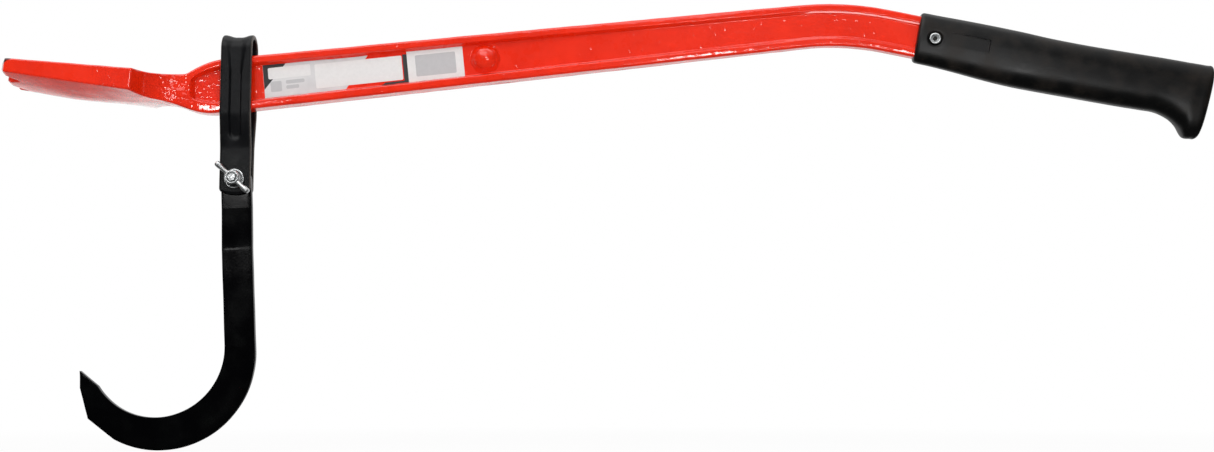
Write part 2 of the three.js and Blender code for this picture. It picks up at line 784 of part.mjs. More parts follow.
function makeHook() {
  const hole = roundBar(bolt.radius + restGap, -hook.thickness, hook.thickness);
  const solid = loft(hookRings()).subtract(hole);
  const mesh = meshOf("hook", solid, colours.gloss, 0.3, 0.3);
  mesh.rotation.y = -hook.lean;
  return mesh;
}

const washerSeat = legFace + restGap;
const nutSeat = washerSeat + washer.thickness + restGap;
const boltEnd = nutSeat + nut.height + bolt.pastNut;

function makeBolt() {
  const seat = legFace + restGap;
  const profile = [
    [0, -boltEnd],
    [bolt.radius - bolt.headRim, -boltEnd],
    [bolt.radius, bolt.headRim - boltEnd],
    [bolt.radius, seat],
    [bolt.headRadius, seat],
    ...crown(bolt.headRadius, seat + bolt.headRim, bolt.headCrown),
  ];
  const neck = new THREE.BoxGeometry(bolt.neckWidth, bolt.neckLength + bolt.headRim, bolt.neckWidth);
  neck.translate(0, seat + (bolt.headRim - bolt.neckLength) / 2, 0);
  const solid = turned(profile).add(solidOf(neck));
  return meshOf("hook_bolt", solid, colours.zinc, 0.9, 0.3);
}

function makeWasher() {
  const inner = bolt.radius + restGap;
  const [near, far] = [-washerSeat, -washerSeat - washer.thickness];
  const solid = turned([
    [inner, far],
    [washer.radius, far],
    [washer.radius, near],
    [inner, near],
    [inner, far],
  ]);
  return meshOf("bolt_washer", solid, colours.zinc, 0.9, 0.3);
}

// The wing nut's two wings in its own frame, as one plate with round ends.
function wingOutline() {
  const shape = new THREE.Shape();
  const lean = Math.atan2(nut.wingLift - nut.wingRoot - nut.tipRadius, nut.wingReach - nut.baseRadius);
  shape.moveTo(-nut.baseRadius / 2, nut.wingRoot);
  shape.lineTo(nut.baseRadius / 2, nut.wingRoot);
  shape.absarc(nut.wingReach, nut.wingLift, nut.tipRadius, lean - Math.PI / 2, lean + Math.PI / 2, false);
  shape.lineTo(nut.topRadius / 2, nut.height - nut.wingRoot);
  shape.lineTo(-nut.topRadius / 2, nut.height - nut.wingRoot);
  shape.absarc(-nut.wingReach, nut.wingLift, nut.tipRadius, Math.PI / 2 - lean, (3 * Math.PI) / 2 - lean, false);
  return shape;
}

function makeWingNut() {
  const inner = bolt.radius + restGap;
  const round = nut.topRadius / 6;
  const hub = turned([
    [inner, 0],
    [nut.baseRadius, 0],
    [nut.baseRadius, round],
    [nut.topRadius, nut.height - round],
    [nut.topRadius - round, nut.height],
    [inner, nut.height],
    [inner, 0],
  ]);
  const plate = new THREE.ExtrudeGeometry(wingOutline(), {
    depth: nut.wingThickness,
    bevelEnabled: false,
    curveSegments: 12,
  });
  plate.translate(0, 0, -nut.wingThickness / 2);
  const tips = [-1, 1].map((side) => {
    const tip = new THREE.CapsuleGeometry(nut.tipThickness / 2, nut.tipRadius, 4, 12);
    tip.translate(side * (nut.wingReach + nut.tipRadius / 4), nut.wingLift + nut.tipRadius / 4, 0);
    return solidOf(tip);
  });
  const bore = roundBar(inner, -cutOverrun, nut.height + cutOverrun);
  const wings = tips.reduce((joined, tip) => joined.add(tip), solidOf(plate));
  const solid = hub.add(wings.subtract(bore)).rotate([180, 0, 0]);
  const mesh = meshOf("wing_nut", solid, colours.zinc, 0.9, 0.25);
  mesh.position.y = -nutSeat;
  mesh.rotation.y = nut.turn;
  return mesh;
}

// The assembly.
const strapUnit = new THREE.Group();
strapUnit.position.set(boltPlace.x, 0, boltPlace.y);
strapUnit.add(makeStrap(), makeHook(), makeBolt(), makeWasher(), makeWingNut());

const gripUnit = new THREE.Group();
gripUnit.position.set(mouthCentre.x, 0, mouthCentre.y);
gripUnit.rotation.y = handle.drop;
gripUnit.add(makeGrip(), makeGripRivet());

const tool = new THREE.Group();
tool.add(makeLever(), makeStopRivet(), gripUnit, strapUnit);

// The part's origin is under the middle of the tool, at the level of its lowest point.
const box = new THREE.Box3().setFromObject(tool, true);
const middle = box.getCenter(new THREE.Vector3());
tool.position.set(-middle.x, 0, -box.min.z);

const part = new THREE.Group();
part.add(tool);

export default part;
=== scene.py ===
import bisect
import math
import bpy
import bmesh
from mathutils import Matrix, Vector, noise


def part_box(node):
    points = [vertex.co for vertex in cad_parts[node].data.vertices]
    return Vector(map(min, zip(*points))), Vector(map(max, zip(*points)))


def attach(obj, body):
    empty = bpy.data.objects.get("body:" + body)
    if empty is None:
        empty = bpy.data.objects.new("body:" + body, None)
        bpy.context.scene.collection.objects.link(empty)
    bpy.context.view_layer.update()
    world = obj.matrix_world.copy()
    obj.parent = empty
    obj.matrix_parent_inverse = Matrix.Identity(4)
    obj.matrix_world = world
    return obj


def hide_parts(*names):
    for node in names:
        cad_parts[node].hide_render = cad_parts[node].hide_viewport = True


# A felling lever with a toothed blade, a bent I-section shaft, a rubber grip and a hook on a sliding strap.
# Shapes are worked out in millimetres and turned to metres when a mesh is made.
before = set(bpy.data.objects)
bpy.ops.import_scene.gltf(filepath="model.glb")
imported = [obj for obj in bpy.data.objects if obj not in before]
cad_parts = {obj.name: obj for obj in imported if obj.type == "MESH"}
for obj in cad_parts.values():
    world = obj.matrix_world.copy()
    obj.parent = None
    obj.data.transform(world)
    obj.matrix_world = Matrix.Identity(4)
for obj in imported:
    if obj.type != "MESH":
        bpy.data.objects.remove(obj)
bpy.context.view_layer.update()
mm = 0.001
degree = math.pi / 180
noise.seed_set(7)  # the same unevenness each run
print("stage: frame loaded,", len(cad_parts), "solids")


# Small sums

def lerp(a, b, t):
    return a + (b - a) * t


def ease(t):
    t = max(0.0, min(1.0, t))
    return t * t * (3 - 2 * t)


def fallBack(radius, away):  # how far a round has fallen at a distance from its top
    return radius - math.sqrt(max(0, radius ** 2 - max(0, away) ** 2))


def turned2(point, angle):  # a 2D point turned about the origin
    c, s = math.cos(angle), math.sin(angle)
    return Vector((point.x * c - point.y * s, point.x * s + point.y * c))


def arc(cx, cy, radius, fromAngle, toAngle, steps=5):
    angles = [lerp(fromAngle, toAngle, k / steps) * degree for k in range(steps + 1)]
    return [(cx + radius * math.cos(a), cy + radius * math.sin(a)) for a in angles]


def domeArc(radius, rimY, rise, steps=9):  # from the rim to the axis
    sphere = (radius * radius + rise * rise) / (2 * abs(rise))
    spread = math.asin(radius / sphere)
    out = []
    for k in range(steps + 1):
        a = spread * (1 - k / steps)
        up = sphere * (math.cos(a) - math.cos(spread))
        out.append((sphere * math.sin(a), rimY + math.copysign(up, rise)))
    return out


def roundedLine(corners, step=3.0):
    # corners are (x, y, radius); the answer is a list of points with each corner rounded
    line = []
    for i, corner in enumerate(corners):
        here = Vector(corner[:2])
        radius = corner[2] if len(corner) > 2 else 0
        if not radius or i in (0, len(corners) - 1):
            line.append(here)
            continue
        along = (here - Vector(corners[i - 1][:2])).normalized()
        onward = (Vector(corners[i + 1][:2]) - here).normalized()
        turn = math.atan2(along.x * onward.y - along.y * onward.x, along.dot(onward))
        start = here - along * radius * math.tan(abs(turn) / 2)
        side = Vector((-along.y, along.x)) * math.copysign(radius, turn)
        steps = max(2, math.ceil(abs(turn) / (step * degree)))
        for k in range(steps + 1):
            line.append(start + side + turned2(-side, turn * k / steps))
    return line


def heightAt(line, x):  # past its ends the line runs on straight
    i = max(1, min(len(line) - 1, bisect.bisect_left([p.x for p in line], x)))
    a, b = line[i - 1], line[i]
    return a.y + (b.y - a.y) * (x - a.x) / (b.x - a.x)


def spaced(line, widest):
    # the same line with no two neighbours further apart than widest(x)
    out = [line[0]]
    for a, b in zip(line, line[1:]):
        parts = max(1, math.ceil((b - a).length / widest((a.x + b.x) / 2)))
        out += [a.lerp(b, k / parts) for k in range(1, parts + 1)]
    return out


def squareTo(line, i):  # the direction square to a line at one of its points
    run = (line[min(i + 1, len(line) - 1)] - line[max(i - 1, 0)]).normalized()
    return Vector((-run.y, run.x))


# Meshes: a shape is a list of points in millimetres and a list of faces

def lofted(rings, closed=False):
    # a skin over rings that have the same number of points
    count = len(rings[0])
    points = [p for ring in rings for p in ring]
    faces = []
    for i in range(len(rings) if closed else len(rings) - 1):
        a0, b0 = i * count, (i + 1) % len(rings) * count
        for j in range(count):
            k = (j + 1) % count
            faces.append((a0 + j, a0 + k, b0 + k, b0 + j))
    if not closed:
        faces.append(tuple(range(count)))
        faces.append(tuple(range(len(points) - count, len(points))))
    return points, faces


def ringAt(radius, y, sides):
    around = [2 * math.pi * k / sides for k in range(sides)]
    return [Vector((radius * math.cos(a), y, radius * math.sin(a))) for a in around]


def revolved(profile, sides=64):
    # profile points are (radius, y); the axis is Y, and a radius of zero closes the form
    rings = [ringAt(radius, y, sides) for radius, y in profile]
    closed = (Vector(profile[0]) - Vector(profile[-1])).length < 1e-6
    return lofted(rings[:-1] if closed else rings, closed)


def joined(shapes):  # several skins as one shape
    points, faces = [], []
    for morePoints, moreFaces in shapes:
        faces += [tuple(i + len(points) for i in face) for face in moreFaces]
        points += morePoints
    return points, faces


def movedAlong(shape, x):
    points, faces = shape
    return [p + Vector((x, 0, 0)) for p in points], faces


def placed(points, x, z, turn=0.0):  # turned about Y as in the solids, then moved
    c, s = math.cos(turn), math.sin(turn)
    return [Vector((x + p.x * c + p.z * s, p.y, z - p.x * s + p.z * c)) for p in points]


def uneven(point, size, amount):  # a small shift that makes a forged or cast surface a little uneven
    return point + noise.noise_vector(point / size) * amount


def newMesh(name, points, faces):
    mesh = bpy.data.meshes.new(name)
    mesh.from_pydata([tuple(p * mm for p in point) for point in points], [], faces)
    return mesh


def newObject(name, data):
    thing = bpy.data.objects.new(name, data)
    bpy.context.scene.collection.objects.link(thing)
    return thing


def tidyMesh(mesh, sharp, chooser=None):
    # points that meet become one, and edges that turn by more than sharp stay crisp
    work = bmesh.new()
    work.from_mesh(mesh)
    bmesh.ops.remove_doubles(work, verts=work.verts, dist=0.002 * mm)
    bmesh.ops.recalc_face_normals(work, faces=work.faces)
    for edge in work.edges:
        edge.smooth = len(edge.link_faces) == 2 and edge.calc_face_angle(0) < sharp * degree
    for face in work.faces:
        face.smooth = True
        if chooser:
            face.material_index = chooser(face.calc_center_median() / mm)
    work.to_mesh(mesh)
    work.free()


def makePiece(name, shape, place, material, body, replaces=(), sharp=38, lumps=None, extra=(),
              chooser=None):
    # place is what placed() takes, lumps what uneven() takes; chooser gives a face its material from its middle
    points, faces = shape
    if lumps:
        points = [uneven(p, *lumps) for p in points]
    mesh = newMesh(name, placed(points, *place), faces)
    piece = newObject(name, mesh)
    for m in (material, *extra):
        mesh.materials.append(m)
    tidyMesh(mesh, sharp, chooser)
    flat = piece.modifiers.new("flatFaces", "WEIGHTED_NORMAL")  # broad faces shade flat up to their rounds
    flat.keep_sharp = True
    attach(piece, body)
    if replaces:
        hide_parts(*replaces)
    return piece


def applied(piece):  # what the modifiers make becomes the piece's own mesh
    view = bpy.context.evaluated_depsgraph_get()
    made = bpy.data.meshes.new_from_object(piece.evaluated_get(view), depsgraph=view)
    old = piece.data
    piece.modifiers.clear()
    piece.data = made
    bpy.data.meshes.remove(old)
    return made


def fused(piece, voxel, smoothing):
    # overlapping shells become one skin with soft corners, as in a casting or a moulding
    remesh = piece.modifiers.new("oneSkin", "REMESH")
    remesh.mode = "VOXEL"
    remesh.voxel_size = voxel * mm
    soft = piece.modifiers.new("softCorners", "SMOOTH")
    soft.factor = 0.5
    soft.iterations = smoothing
    for polygon in applied(piece).polygons:
        polygon.use_smooth = True


def cutAway(piece, shape, place):
    points, faces = shape
    mesh = newMesh("cutter", placed(points, *place), faces)
    work = bmesh.new()
    work.from_mesh(mesh)
    bmesh.ops.recalc_face_normals(work, faces=work.faces)
    work.to_mesh(mesh)
    work.free()
    cutter = newObject("cutter", mesh)
    cut = piece.modifiers.new("cut", "BOOLEAN")
    cut.operation, cut.object, cut.solver = "DIFFERENCE", cutter, "EXACT"
    applied(piece)
    bpy.data.objects.remove(cutter)
    bpy.data.meshes.remove(mesh)


# Materials

def colour(text):  # an sRGB hex value as linear light
    parts = [int(text[i:i + 2], 16) / 255 for i in (1, 3, 5)]
    return tuple(c / 12.92 if c <= 0.04045 else ((c + 0.055) / 1.055) ** 2.4 for c in parts) + (1.0,)


def perMetre(size):  # a pattern's scale from the real size of its detail in millimetres
    return 1 / (size * mm)


def addNode(tree, kind, inputs=None, **settings):
    # inputs hold plain values or the sockets to link
    node = tree.nodes.new(kind)
    for key, value in settings.items():
        setattr(node, key, value)
    for key, value in (inputs or {}).items():
        if isinstance(value, bpy.types.NodeSocket):
            tree.links.new(value, node.inputs[key])
        else:
            node.inputs[key].default_value = value
    return node


def startMaterial(name, values):
    material = bpy.data.materials.new(name)
    material.use_nodes = True
    tree = material.node_tree
    shader = tree.nodes["Principled BSDF"]
    for key, value in values.items():
        shader.inputs[key].default_value = value
    place = addNode(tree, "ShaderNodeTexCoord").outputs["Object"]
    return material, tree, shader, place


# Gloss enamel sprayed over a rough forging: saturated red and wet-looking, with dents that catch small white
# glints, darker paint where it pooled, faint lengthwise forging marks, and bare dark steel at the worn tip.
enamel = {
    "red": "#F52D0E",
    "deepRed": "#DA1F05",
    "pooled": (0.35, 0.7, 0.55),  # where the cloud pattern starts and stops to deepen the red, and by how much
    "bareSteel": "#2C211F",
    "roughness": (0.22, 0.42),  # under the clear coat, between the high and the low places
    "coatRoughness": 0.05,
    "peel": 2.6,  # mm, the ripple of the sprayed skin
    "dent": 7.5,  # mm
    "cloud": 26.0,  # mm
    "drawn": (60.0, 3.2),  # mm, along and across the blade's forging marks
    "markRelief": (0.5, 0.1),  # strength, and height in mm
    "dentRelief": (0.6, 0.13),
    "skinRelief": (0.8, 0.34),
    "rippled": (0.48, 0.66, 0.1, 0.3),  # the cloud's range, and how strong the ripple is at its two ends
    "nib": (5.0, 0.26, 1.8),  # the spacing of dust nibs in mm, their size as a share of it, and their height
    "hammered": (-304.0, 6.0, 19.0),  # mm, the waist's middle, and how far from it the rough skin fades and ends
    "beat": (5.2, 5.2),  # the size of the hammer marks there in mm, and their depth next to the skin's ripple
    "tip": (-416.4, 263.6),  # mm, the blade's upper front edge, where the paint is worn off
    "tipBow": 2.78,  # how far the tip lies back at the square of a place across it, in metres
    "worn": (7.8, 6.4, 0.95),  # mm behind the tip where the paint is whole and where it is gone, and how bare
    "ragged": 9.0,  # mm, how far the edge of the wear wanders
    "wornLean": 1.4,  # mm that this edge comes forward for each mm further down
}


def redEnamel():
    material, tree, shader, place = startMaterial("redGlossEnamelOnForgedSteel", {
        "IOR": 1.5, "Specular IOR Level": 0.1, "Coat Weight": 1.0, "Coat IOR": 1.5,
        "Coat Roughness": enamel["coatRoughness"],
    })
    beatSize, beatDepth = enamel["beat"]
    cloud, dent, peel, beat = [addNode(tree, "ShaderNodeTexNoise", {
        "Vector": place, "Scale": perMetre(size), "Detail": detail,
    }).outputs["Fac"] for size, detail in (
        (enamel["cloud"], 3.0), (enamel["dent"], 2.0), (enamel["peel"], 2.0), (beatSize, 1.0))]
    long, narrow = enamel["drawn"]
    stretched = addNode(tree, "ShaderNodeMapping", {
        "Vector": place, "Scale": (perMetre(long), perMetre(narrow), perMetre(narrow)),
    })
    drawn = addNode(tree, "ShaderNodeTexNoise", {
        "Vector": stretched.outputs["Vector"], "Scale": 1.0, "Detail": 4.0,
    })

    # colour: red, deeper where it pooled, and steel where it is worn
    low, high, most = enamel["pooled"]
    pooled = addNode(tree, "ShaderNodeMapRange", {
        "Value": cloud, "From Min": low, "From Max": high, "To Min": 0.0, "To Max": most,
    })
    tint = addNode(tree, "ShaderNodeMix", {
        "Factor": pooled.outputs["Result"], 6: colour(enamel["red"]), 7: colour(enamel["deepRed"]),
    }, data_type="RGBA")
    along = addNode(tree, "ShaderNodeSeparateXYZ", {"Vector": place})
    y = along.outputs["Y"]
    squared = addNode(tree, "ShaderNodeMath", {0: y, 1: y}, operation="MULTIPLY")
    behind = along.outputs["X"]  # how far a place lies behind the tip, in three steps
    for part, factor in ((squared.outputs[0], -enamel["tipBow"]), (peel, enamel["ragged"] * mm),
                         (along.outputs["Z"], -enamel["wornLean"])):
        behind = addNode(tree, "ShaderNodeMath", {0: part, 1: factor, 2: behind},
                         operation="MULTIPLY_ADD").outputs[0]
    tipX, tipZ = enamel["tip"]
    edge = tipX + enamel["ragged"] / 2 - enamel["wornLean"] * tipZ
    front, back, most = enamel["worn"]
    worn = addNode(tree, "ShaderNodeMapRange", {
        "Value": behind, "From Min": (edge + front) * mm, "From Max": (edge + back) * mm, "To Max": most,
    })
    final = addNode(tree, "ShaderNodeMix", {
        "Factor": worn.outputs["Result"], 6: tint.outputs[2], 7: colour(enamel["bareSteel"]),
    }, data_type="RGBA")
    tree.links.new(final.outputs[2], shader.inputs["Base Color"])
    smoothest, roughest = enamel["roughness"]
    rough = addNode(tree, "ShaderNodeMapRange", {
        "Value": dent, "From Min": 0.3, "From Max": 0.75, "To Min": smoothest, "To Max": roughest,
    })
    tree.links.new(rough.outputs["Result"], shader.inputs["Roughness"])

    # relief: forging marks, then dents, then a skin of ripple, nibs and the waist's hammer marks
    middle, near, far = enamel["hammered"]
    aside = addNode(tree, "ShaderNodeMath", {0: along.outputs["X"], 1: middle * mm}, operation="SUBTRACT")
    aside = addNode(tree, "ShaderNodeMath", {0: aside.outputs[0]}, operation="ABSOLUTE")
    waist = addNode(tree, "ShaderNodeMapRange", {
        "Value": aside.outputs[0], "From Min": far * mm, "From Max": near * mm, "To Min": 0.0, "To Max": 1.0,
    }, interpolation_type="SMOOTHSTEP")
    low, high, least, most = enamel["rippled"]
    patch = addNode(tree, "ShaderNodeMapRange", {
        "Value": cloud, "From Min": low, "From Max": high, "To Min": least, "To Max": most,
    })
    fine = addNode(tree, "ShaderNodeMath", {0: peel, 1: patch.outputs["Result"]}, operation="MULTIPLY")
    deep = addNode(tree, "ShaderNodeMath", {0: beat, 1: waist.outputs["Result"]}, operation="MULTIPLY")
    rippled = addNode(tree, "ShaderNodeMath", {0: deep.outputs[0], 1: beatDepth, 2: fine.outputs[0]},
                      operation="MULTIPLY_ADD")
    spacing, share, height = enamel["nib"]
    cell = addNode(tree, "ShaderNodeTexVoronoi", {"Vector": place, "Scale": perMetre(spacing)})
    nib = addNode(tree, "ShaderNodeMapRange", {
        "Value": cell.outputs["Distance"], "From Min": 0.0, "From Max": share, "To Min": height, "To Max": 0.0,
    }, interpolation_type="SMOOTHSTEP")
    nibs = addNode(tree, "ShaderNodeMath", {
        0: nib.outputs["Result"], 1: patch.outputs["Result"], 2: rippled.outputs[0],
    }, operation="MULTIPLY_ADD")
    relief = None
    for heights, (strength, depth) in (
            (drawn.outputs["Fac"], enamel["markRelief"]), (dent, enamel["dentRelief"]),
            (nibs.outputs[0], enamel["skinRelief"])):
        below = {"Normal": relief} if relief else {}
        relief = addNode(tree, "ShaderNodeBump", {
            "Height": heights, "Strength": strength, "Distance": depth * mm, **below,
        }).outputs["Normal"]
    for key in ("Normal", "Coat Normal"):
        tree.links.new(relief, shader.inputs[key])
    return material


def twoTone(name, values, look):
    # two near tones that drift into each other, and a fine relief; a pair of roughness values drifts with them
    material, tree, shader, place = startMaterial(name, values)
    drift, grain = [addNode(tree, "ShaderNodeTexNoise", {
        "Vector": place, "Scale": perMetre(size), "Detail": detail,
    }).outputs["Fac"] for size, detail in (look["drift"], look["grain"])]
    low, high = look.get("driftRange", (0.0, 1.0))
    share = addNode(tree, "ShaderNodeMapRange", {"Value": drift, "From Min": low, "From Max": high})
    tones = [colour(tone) for tone in look["tones"]]
    mixed = addNode(tree, "ShaderNodeMix", {
        "Factor": share.outputs["Result"], 6: tones[0], 7: tones[1],
    }, data_type="RGBA")
    tree.links.new(mixed.outputs[2], shader.inputs["Base Color"])
    if "roughness" in look:
        smoothest, roughest = look["roughness"]
        rough = addNode(tree, "ShaderNodeMapRange", {
            "Value": drift, "From Min": 0.3, "From Max": 0.7, "To Min": smoothest, "To Max": roughest,
        })
        tree.links.new(rough.outputs["Result"], shader.inputs["Roughness"])
    strength, depth = look["relief"]
    bump = addNode(tree, "ShaderNodeBump", {"Height": grain, "Strength": strength, "Distance": depth * mm})
    tree.links.new(bump.outputs["Normal"], shader.inputs["Normal"])
    return material


# In each look: drift and grain are (size in mm, detail), relief is (strength, height in mm).
redCoat = redEnamel()
# Epoxy powder coat, oven-cured on bent sheet: satin black with a fine orange peel and faint lighter scuffs.
strapCoat = twoTone("satinBlackPowderCoat", {"IOR": 1.5, "Specular IOR Level": 0.16}, {
    "tones": ("#0C0D0F", "#191A1C"), "drift": (11.0, 4.0), "driftRange": (0.45, 0.8), "roughness": (0.29, 0.42),
    "grain": (0.9, 2.0), "relief": (0.5, 0.07),
})
# Dipped gloss enamel on cut flat steel: a deep wet black with a soft ripple.
hookCoat = twoTone("dippedBlackEnamel", {"IOR": 1.5, "Specular IOR Level": 0.07}, {
    "tones": ("#020203", "#070808"), "drift": (16.0, 4.0), "driftRange": (0.45, 0.8), "roughness": (0.1, 0.23),
    "grain": (2.6, 2.0), "relief": (0.5, 0.05),
})
# Thermoplastic rubber, moulded in a spark-eroded mould: a soft black sheen, a little brown in places. Its grain
# is finer than this, and is drawn as coarse as it needs to show.
gripRubber = twoTone("mouldedBlackRubber", {"IOR": 1.5, "Specular IOR Level": 0.26}, {
    "tones": ("#050505", "#1F1914"), "drift": (14.0, 4.0), "driftRange": (0.45, 0.8), "roughness": (0.28, 0.41),
    "grain": (0.7, 2.0), "relief": (0.5, 0.05),
})
# Electroplated zinc on turned and cast steel: a cool bright metal, a little cloudy, with fine tool marks, which
# are drawn as coarse as they need to show.
zinc = twoTone("brightZincPlate", {"Metallic": 1.0}, {
    "tones": ("#DADCDD", "#B3B6B6"), "drift": (2.2, 4.0), "roughness": (0.24, 0.46),
    "grain": (0.5, 2.0), "relief": (0.35, 0.05),
})
# The sheared edge of the strap, thinly coated: a streaky brownish grey, rougher than the faces.
bareEdge = twoTone("shearedSteelEdge", {"Metallic": 0.35, "Roughness": 0.45}, {
    "tones": ("#2A2826", "#6B625B"), "drift": (2.0, 5.0), "grain": (2.0, 5.0), "relief": (0.4, 0.1),
})
print("stage: materials made")


# Lever: the same lines as the solid, with rounded flanges, filleted webs and a warped tip for the teeth

bar = {
    "bladeLength": 90, "bladeWidth": 72, "bladeDrop": 6.2 * degree, "tipThickness": 8.8, "heelThickness": 13.8,
    "tipBulge": 3.6, "tipRound": 2.6, "notchDepth": 10.4, "notchMouth": 12.5, "notchPitch": 21.5,
    "toothRound": 0.1, "toothParts": 1.1, "warpLength": 27, "bladeEdge": 1.0, "underEdge": 0.8,
    "edgeSettle": 30, "heelCorner": 1.8, "keelFromTip": 46, "keelDrop": 8.6, "keelRound": 200,
    "tipHull": 5.4, "keelHull": 7.2, "heelHull": 2.4, "hullRound": 60, "hullPower": 1.5,
    "neckLength": 48, "flatLength": 30.5, "flatHeight": 8.8, "keelRun": 19, "neckDrop": 11, "shoulderRun": 9.2,
    "shoulderRound": 30, "neckWidth": 18, "leanLength": 30, "settle": 35, "heelRound": 60, "footRound": 8,
    "browRound": 58, "bellyLead": 7, "bellyRound": 42,
    "rise": 6 * degree, "shaftLength": 441, "neckDepth": 37.6, "bendDepth": 29.5,
    "thickness": 14.6, "slim": 9.6, "taperStart": 200.5, "taperEnd": 415.5, "taperRound": 120,
    "edge": 1.7, "flange": 5.4, "neckFlange": 8.2, "flangeSettle": 42, "web": 6, "draft": 1.0,
    "webStart": 33, "webApproach": 9, "webCorner": 4.2, "runout": 3.4, "lip": 0.8, "fillet": 0.8,
    "drop": 11.6 * degree, "bendRadius": 190, "exposed": 51.6, "tang": 150, "webInside": 40,
    "lumps": (11, 0.14),  # the forging's unevenness: how wide and how high, in mm
    "boltDrop": 47.6, "boltFromHeel": 65.7,  # the hook's bolt, below the shaft and from the heel
}
heelX = bar["bladeLength"]
shaftStart = Vector((heelX + bar["neckLength"], 0))
alongShaft = Vector((math.cos(bar["rise"]), math.sin(bar["rise"])))
alongHandle = Vector((math.cos(bar["drop"]), -math.sin(bar["drop"])))
bendPlace = shaftStart + alongShaft * bar["shaftLength"]
mouth = bendPlace + alongHandle * bar["exposed"]
tangEnd = mouth + alongHandle * bar["tang"]


def edgeCorner(place, before, after, offset, radius=0):
    square = (before + after) / 2 + math.pi / 2
    reach = offset / math.cos((before - after) / 2)
    return (place.x + reach * math.cos(square), place.y + reach * math.sin(square), radius)


def shaftCorners(side):  # the bend's and the tang's corners, for the top (1) or the underside (-1)
    rise, drop, half = bar["rise"], bar["drop"], side * bar["bendDepth"] / 2
    bend = edgeCorner(bendPlace, rise, -drop, half, bar["bendRadius"] + half)
    return [bend, edgeCorner(tangEnd, -drop, -drop, half)]


tipLift = heelX * math.tan(bar["bladeDrop"])
topLine = roundedLine([
    (0, tipLift + bar["tipThickness"] / 2),
    (heelX, bar["heelThickness"] / 2, bar["heelRound"]),
    (heelX + bar["flatLength"], bar["flatHeight"], bar["footRound"]),
    edgeCorner(shaftStart, bar["rise"], bar["rise"], bar["neckDepth"] / 2, bar["browRound"]),
    *shaftCorners(1),
])
belly = shaftStart - alongShaft * bar["bellyLead"]
bottomLine = roundedLine([
    (0, tipLift - bar["tipThickness"] / 2 - bar["tipHull"]),
    (bar["keelFromTip"], -bar["keelDrop"], bar["keelRound"]),
    (heelX + bar["keelRun"], -bar["neckDrop"], bar["heelRound"]),
    edgeCorner(belly, bar["rise"], bar["rise"], -bar["neckDepth"] / 2, bar["bellyRound"]),
    *shaftCorners(-1),
])
hullLine = roundedLine([  # how much higher the underside is at the blade's edges than in its middle
    (0, bar["tipHull"]),
    (bar["keelFromTip"], bar["keelHull"], bar["keelRound"]),
    (heelX, bar["heelHull"], bar["hullRound"]),
    (shaftStart.x, 0, bar["hullRound"]),
    (tangEnd.x, 0),
])
sideLine = roundedLine([
    (0, bar["bladeWidth"] / 2),
    (heelX, bar["bladeWidth"] / 2, bar["heelCorner"]),
    (heelX + bar["shoulderRun"], bar["neckWidth"] / 2, bar["shoulderRound"]),
    (heelX + bar["settle"], bar["thickness"] / 2, bar["browRound"]),
    (shaftStart.x + bar["taperStart"], bar["thickness"] / 2, bar["taperRound"]),
    (shaftStart.x + bar["taperEnd"], bar["slim"] / 2, bar["taperRound"]),
    (tangEnd.x, bar["slim"] / 2),
], step=5)

# The tool's own lines start at the blade's tip; the bolt's solid says where that lies in the part's frame.
boltLow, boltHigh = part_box("hook_bolt")
boltX, boltZ = [(boltLow[axis] + boltHigh[axis]) / 2 / mm for axis in (0, 2)]
toolX = boltX - heelX - bar["boltFromHeel"]
toolZ = boltZ - heightAt(bottomLine, heelX + bar["boltFromHeel"]) + bar["boltDrop"]
webFrom = heelX + bar["webStart"]
webTo = mouth.x + bar["webInside"]


def underside(x, y):
    across = min(abs(y) / (bar["bladeWidth"] / 2), 1)
    return heightAt(bottomLine, x) + heightAt(hullLine, x) * across ** bar["hullPower"]


def stationGap(x):  # stations lie closer where the form turns
    for end, gap in ((4, 0.45), (heelX - 4, 1.6), (heelX + 24, 1.2), (webFrom + 14, 0.9)):
        if x < end:
            return gap
    return 3.2


def acrossShares():  # places across half the blade, with one at every corner of a tooth
    half, mouthHalf, pitch = bar["bladeWidth"] / 2, bar["notchMouth"] / 2, bar["notchPitch"]
    stops = [0, mouthHalf, pitch - mouthHalf, pitch, pitch + mouthHalf, half]
    shares = [0]
    for a, b in zip(stops, stops[1:]):
        parts = max(3, round((b - a) / bar["toothParts"]))
        shares += [lerp(a, b, k / parts) / half for k in range(1, parts + 1)]
    return shares


def toothShift(y):  # how far the tip lies back at a place across the blade
    half = bar["bladeWidth"] / 2
    y = min(abs(y), half)
    soft = bar["toothRound"]
    cut = 0.0
    for centre in (0, bar["notchPitch"]):  # V-notches with worn corners and a small round at the root
        share = 1 - math.hypot((y - centre) / (bar["notchMouth"] / 2), soft) + soft / 2
        cut += (share + math.hypot(share, soft)) / 2 if share > -1.2 else 0
    return bar["tipBulge"] * (y / half) ** 2 + bar["notchDepth"] * cut


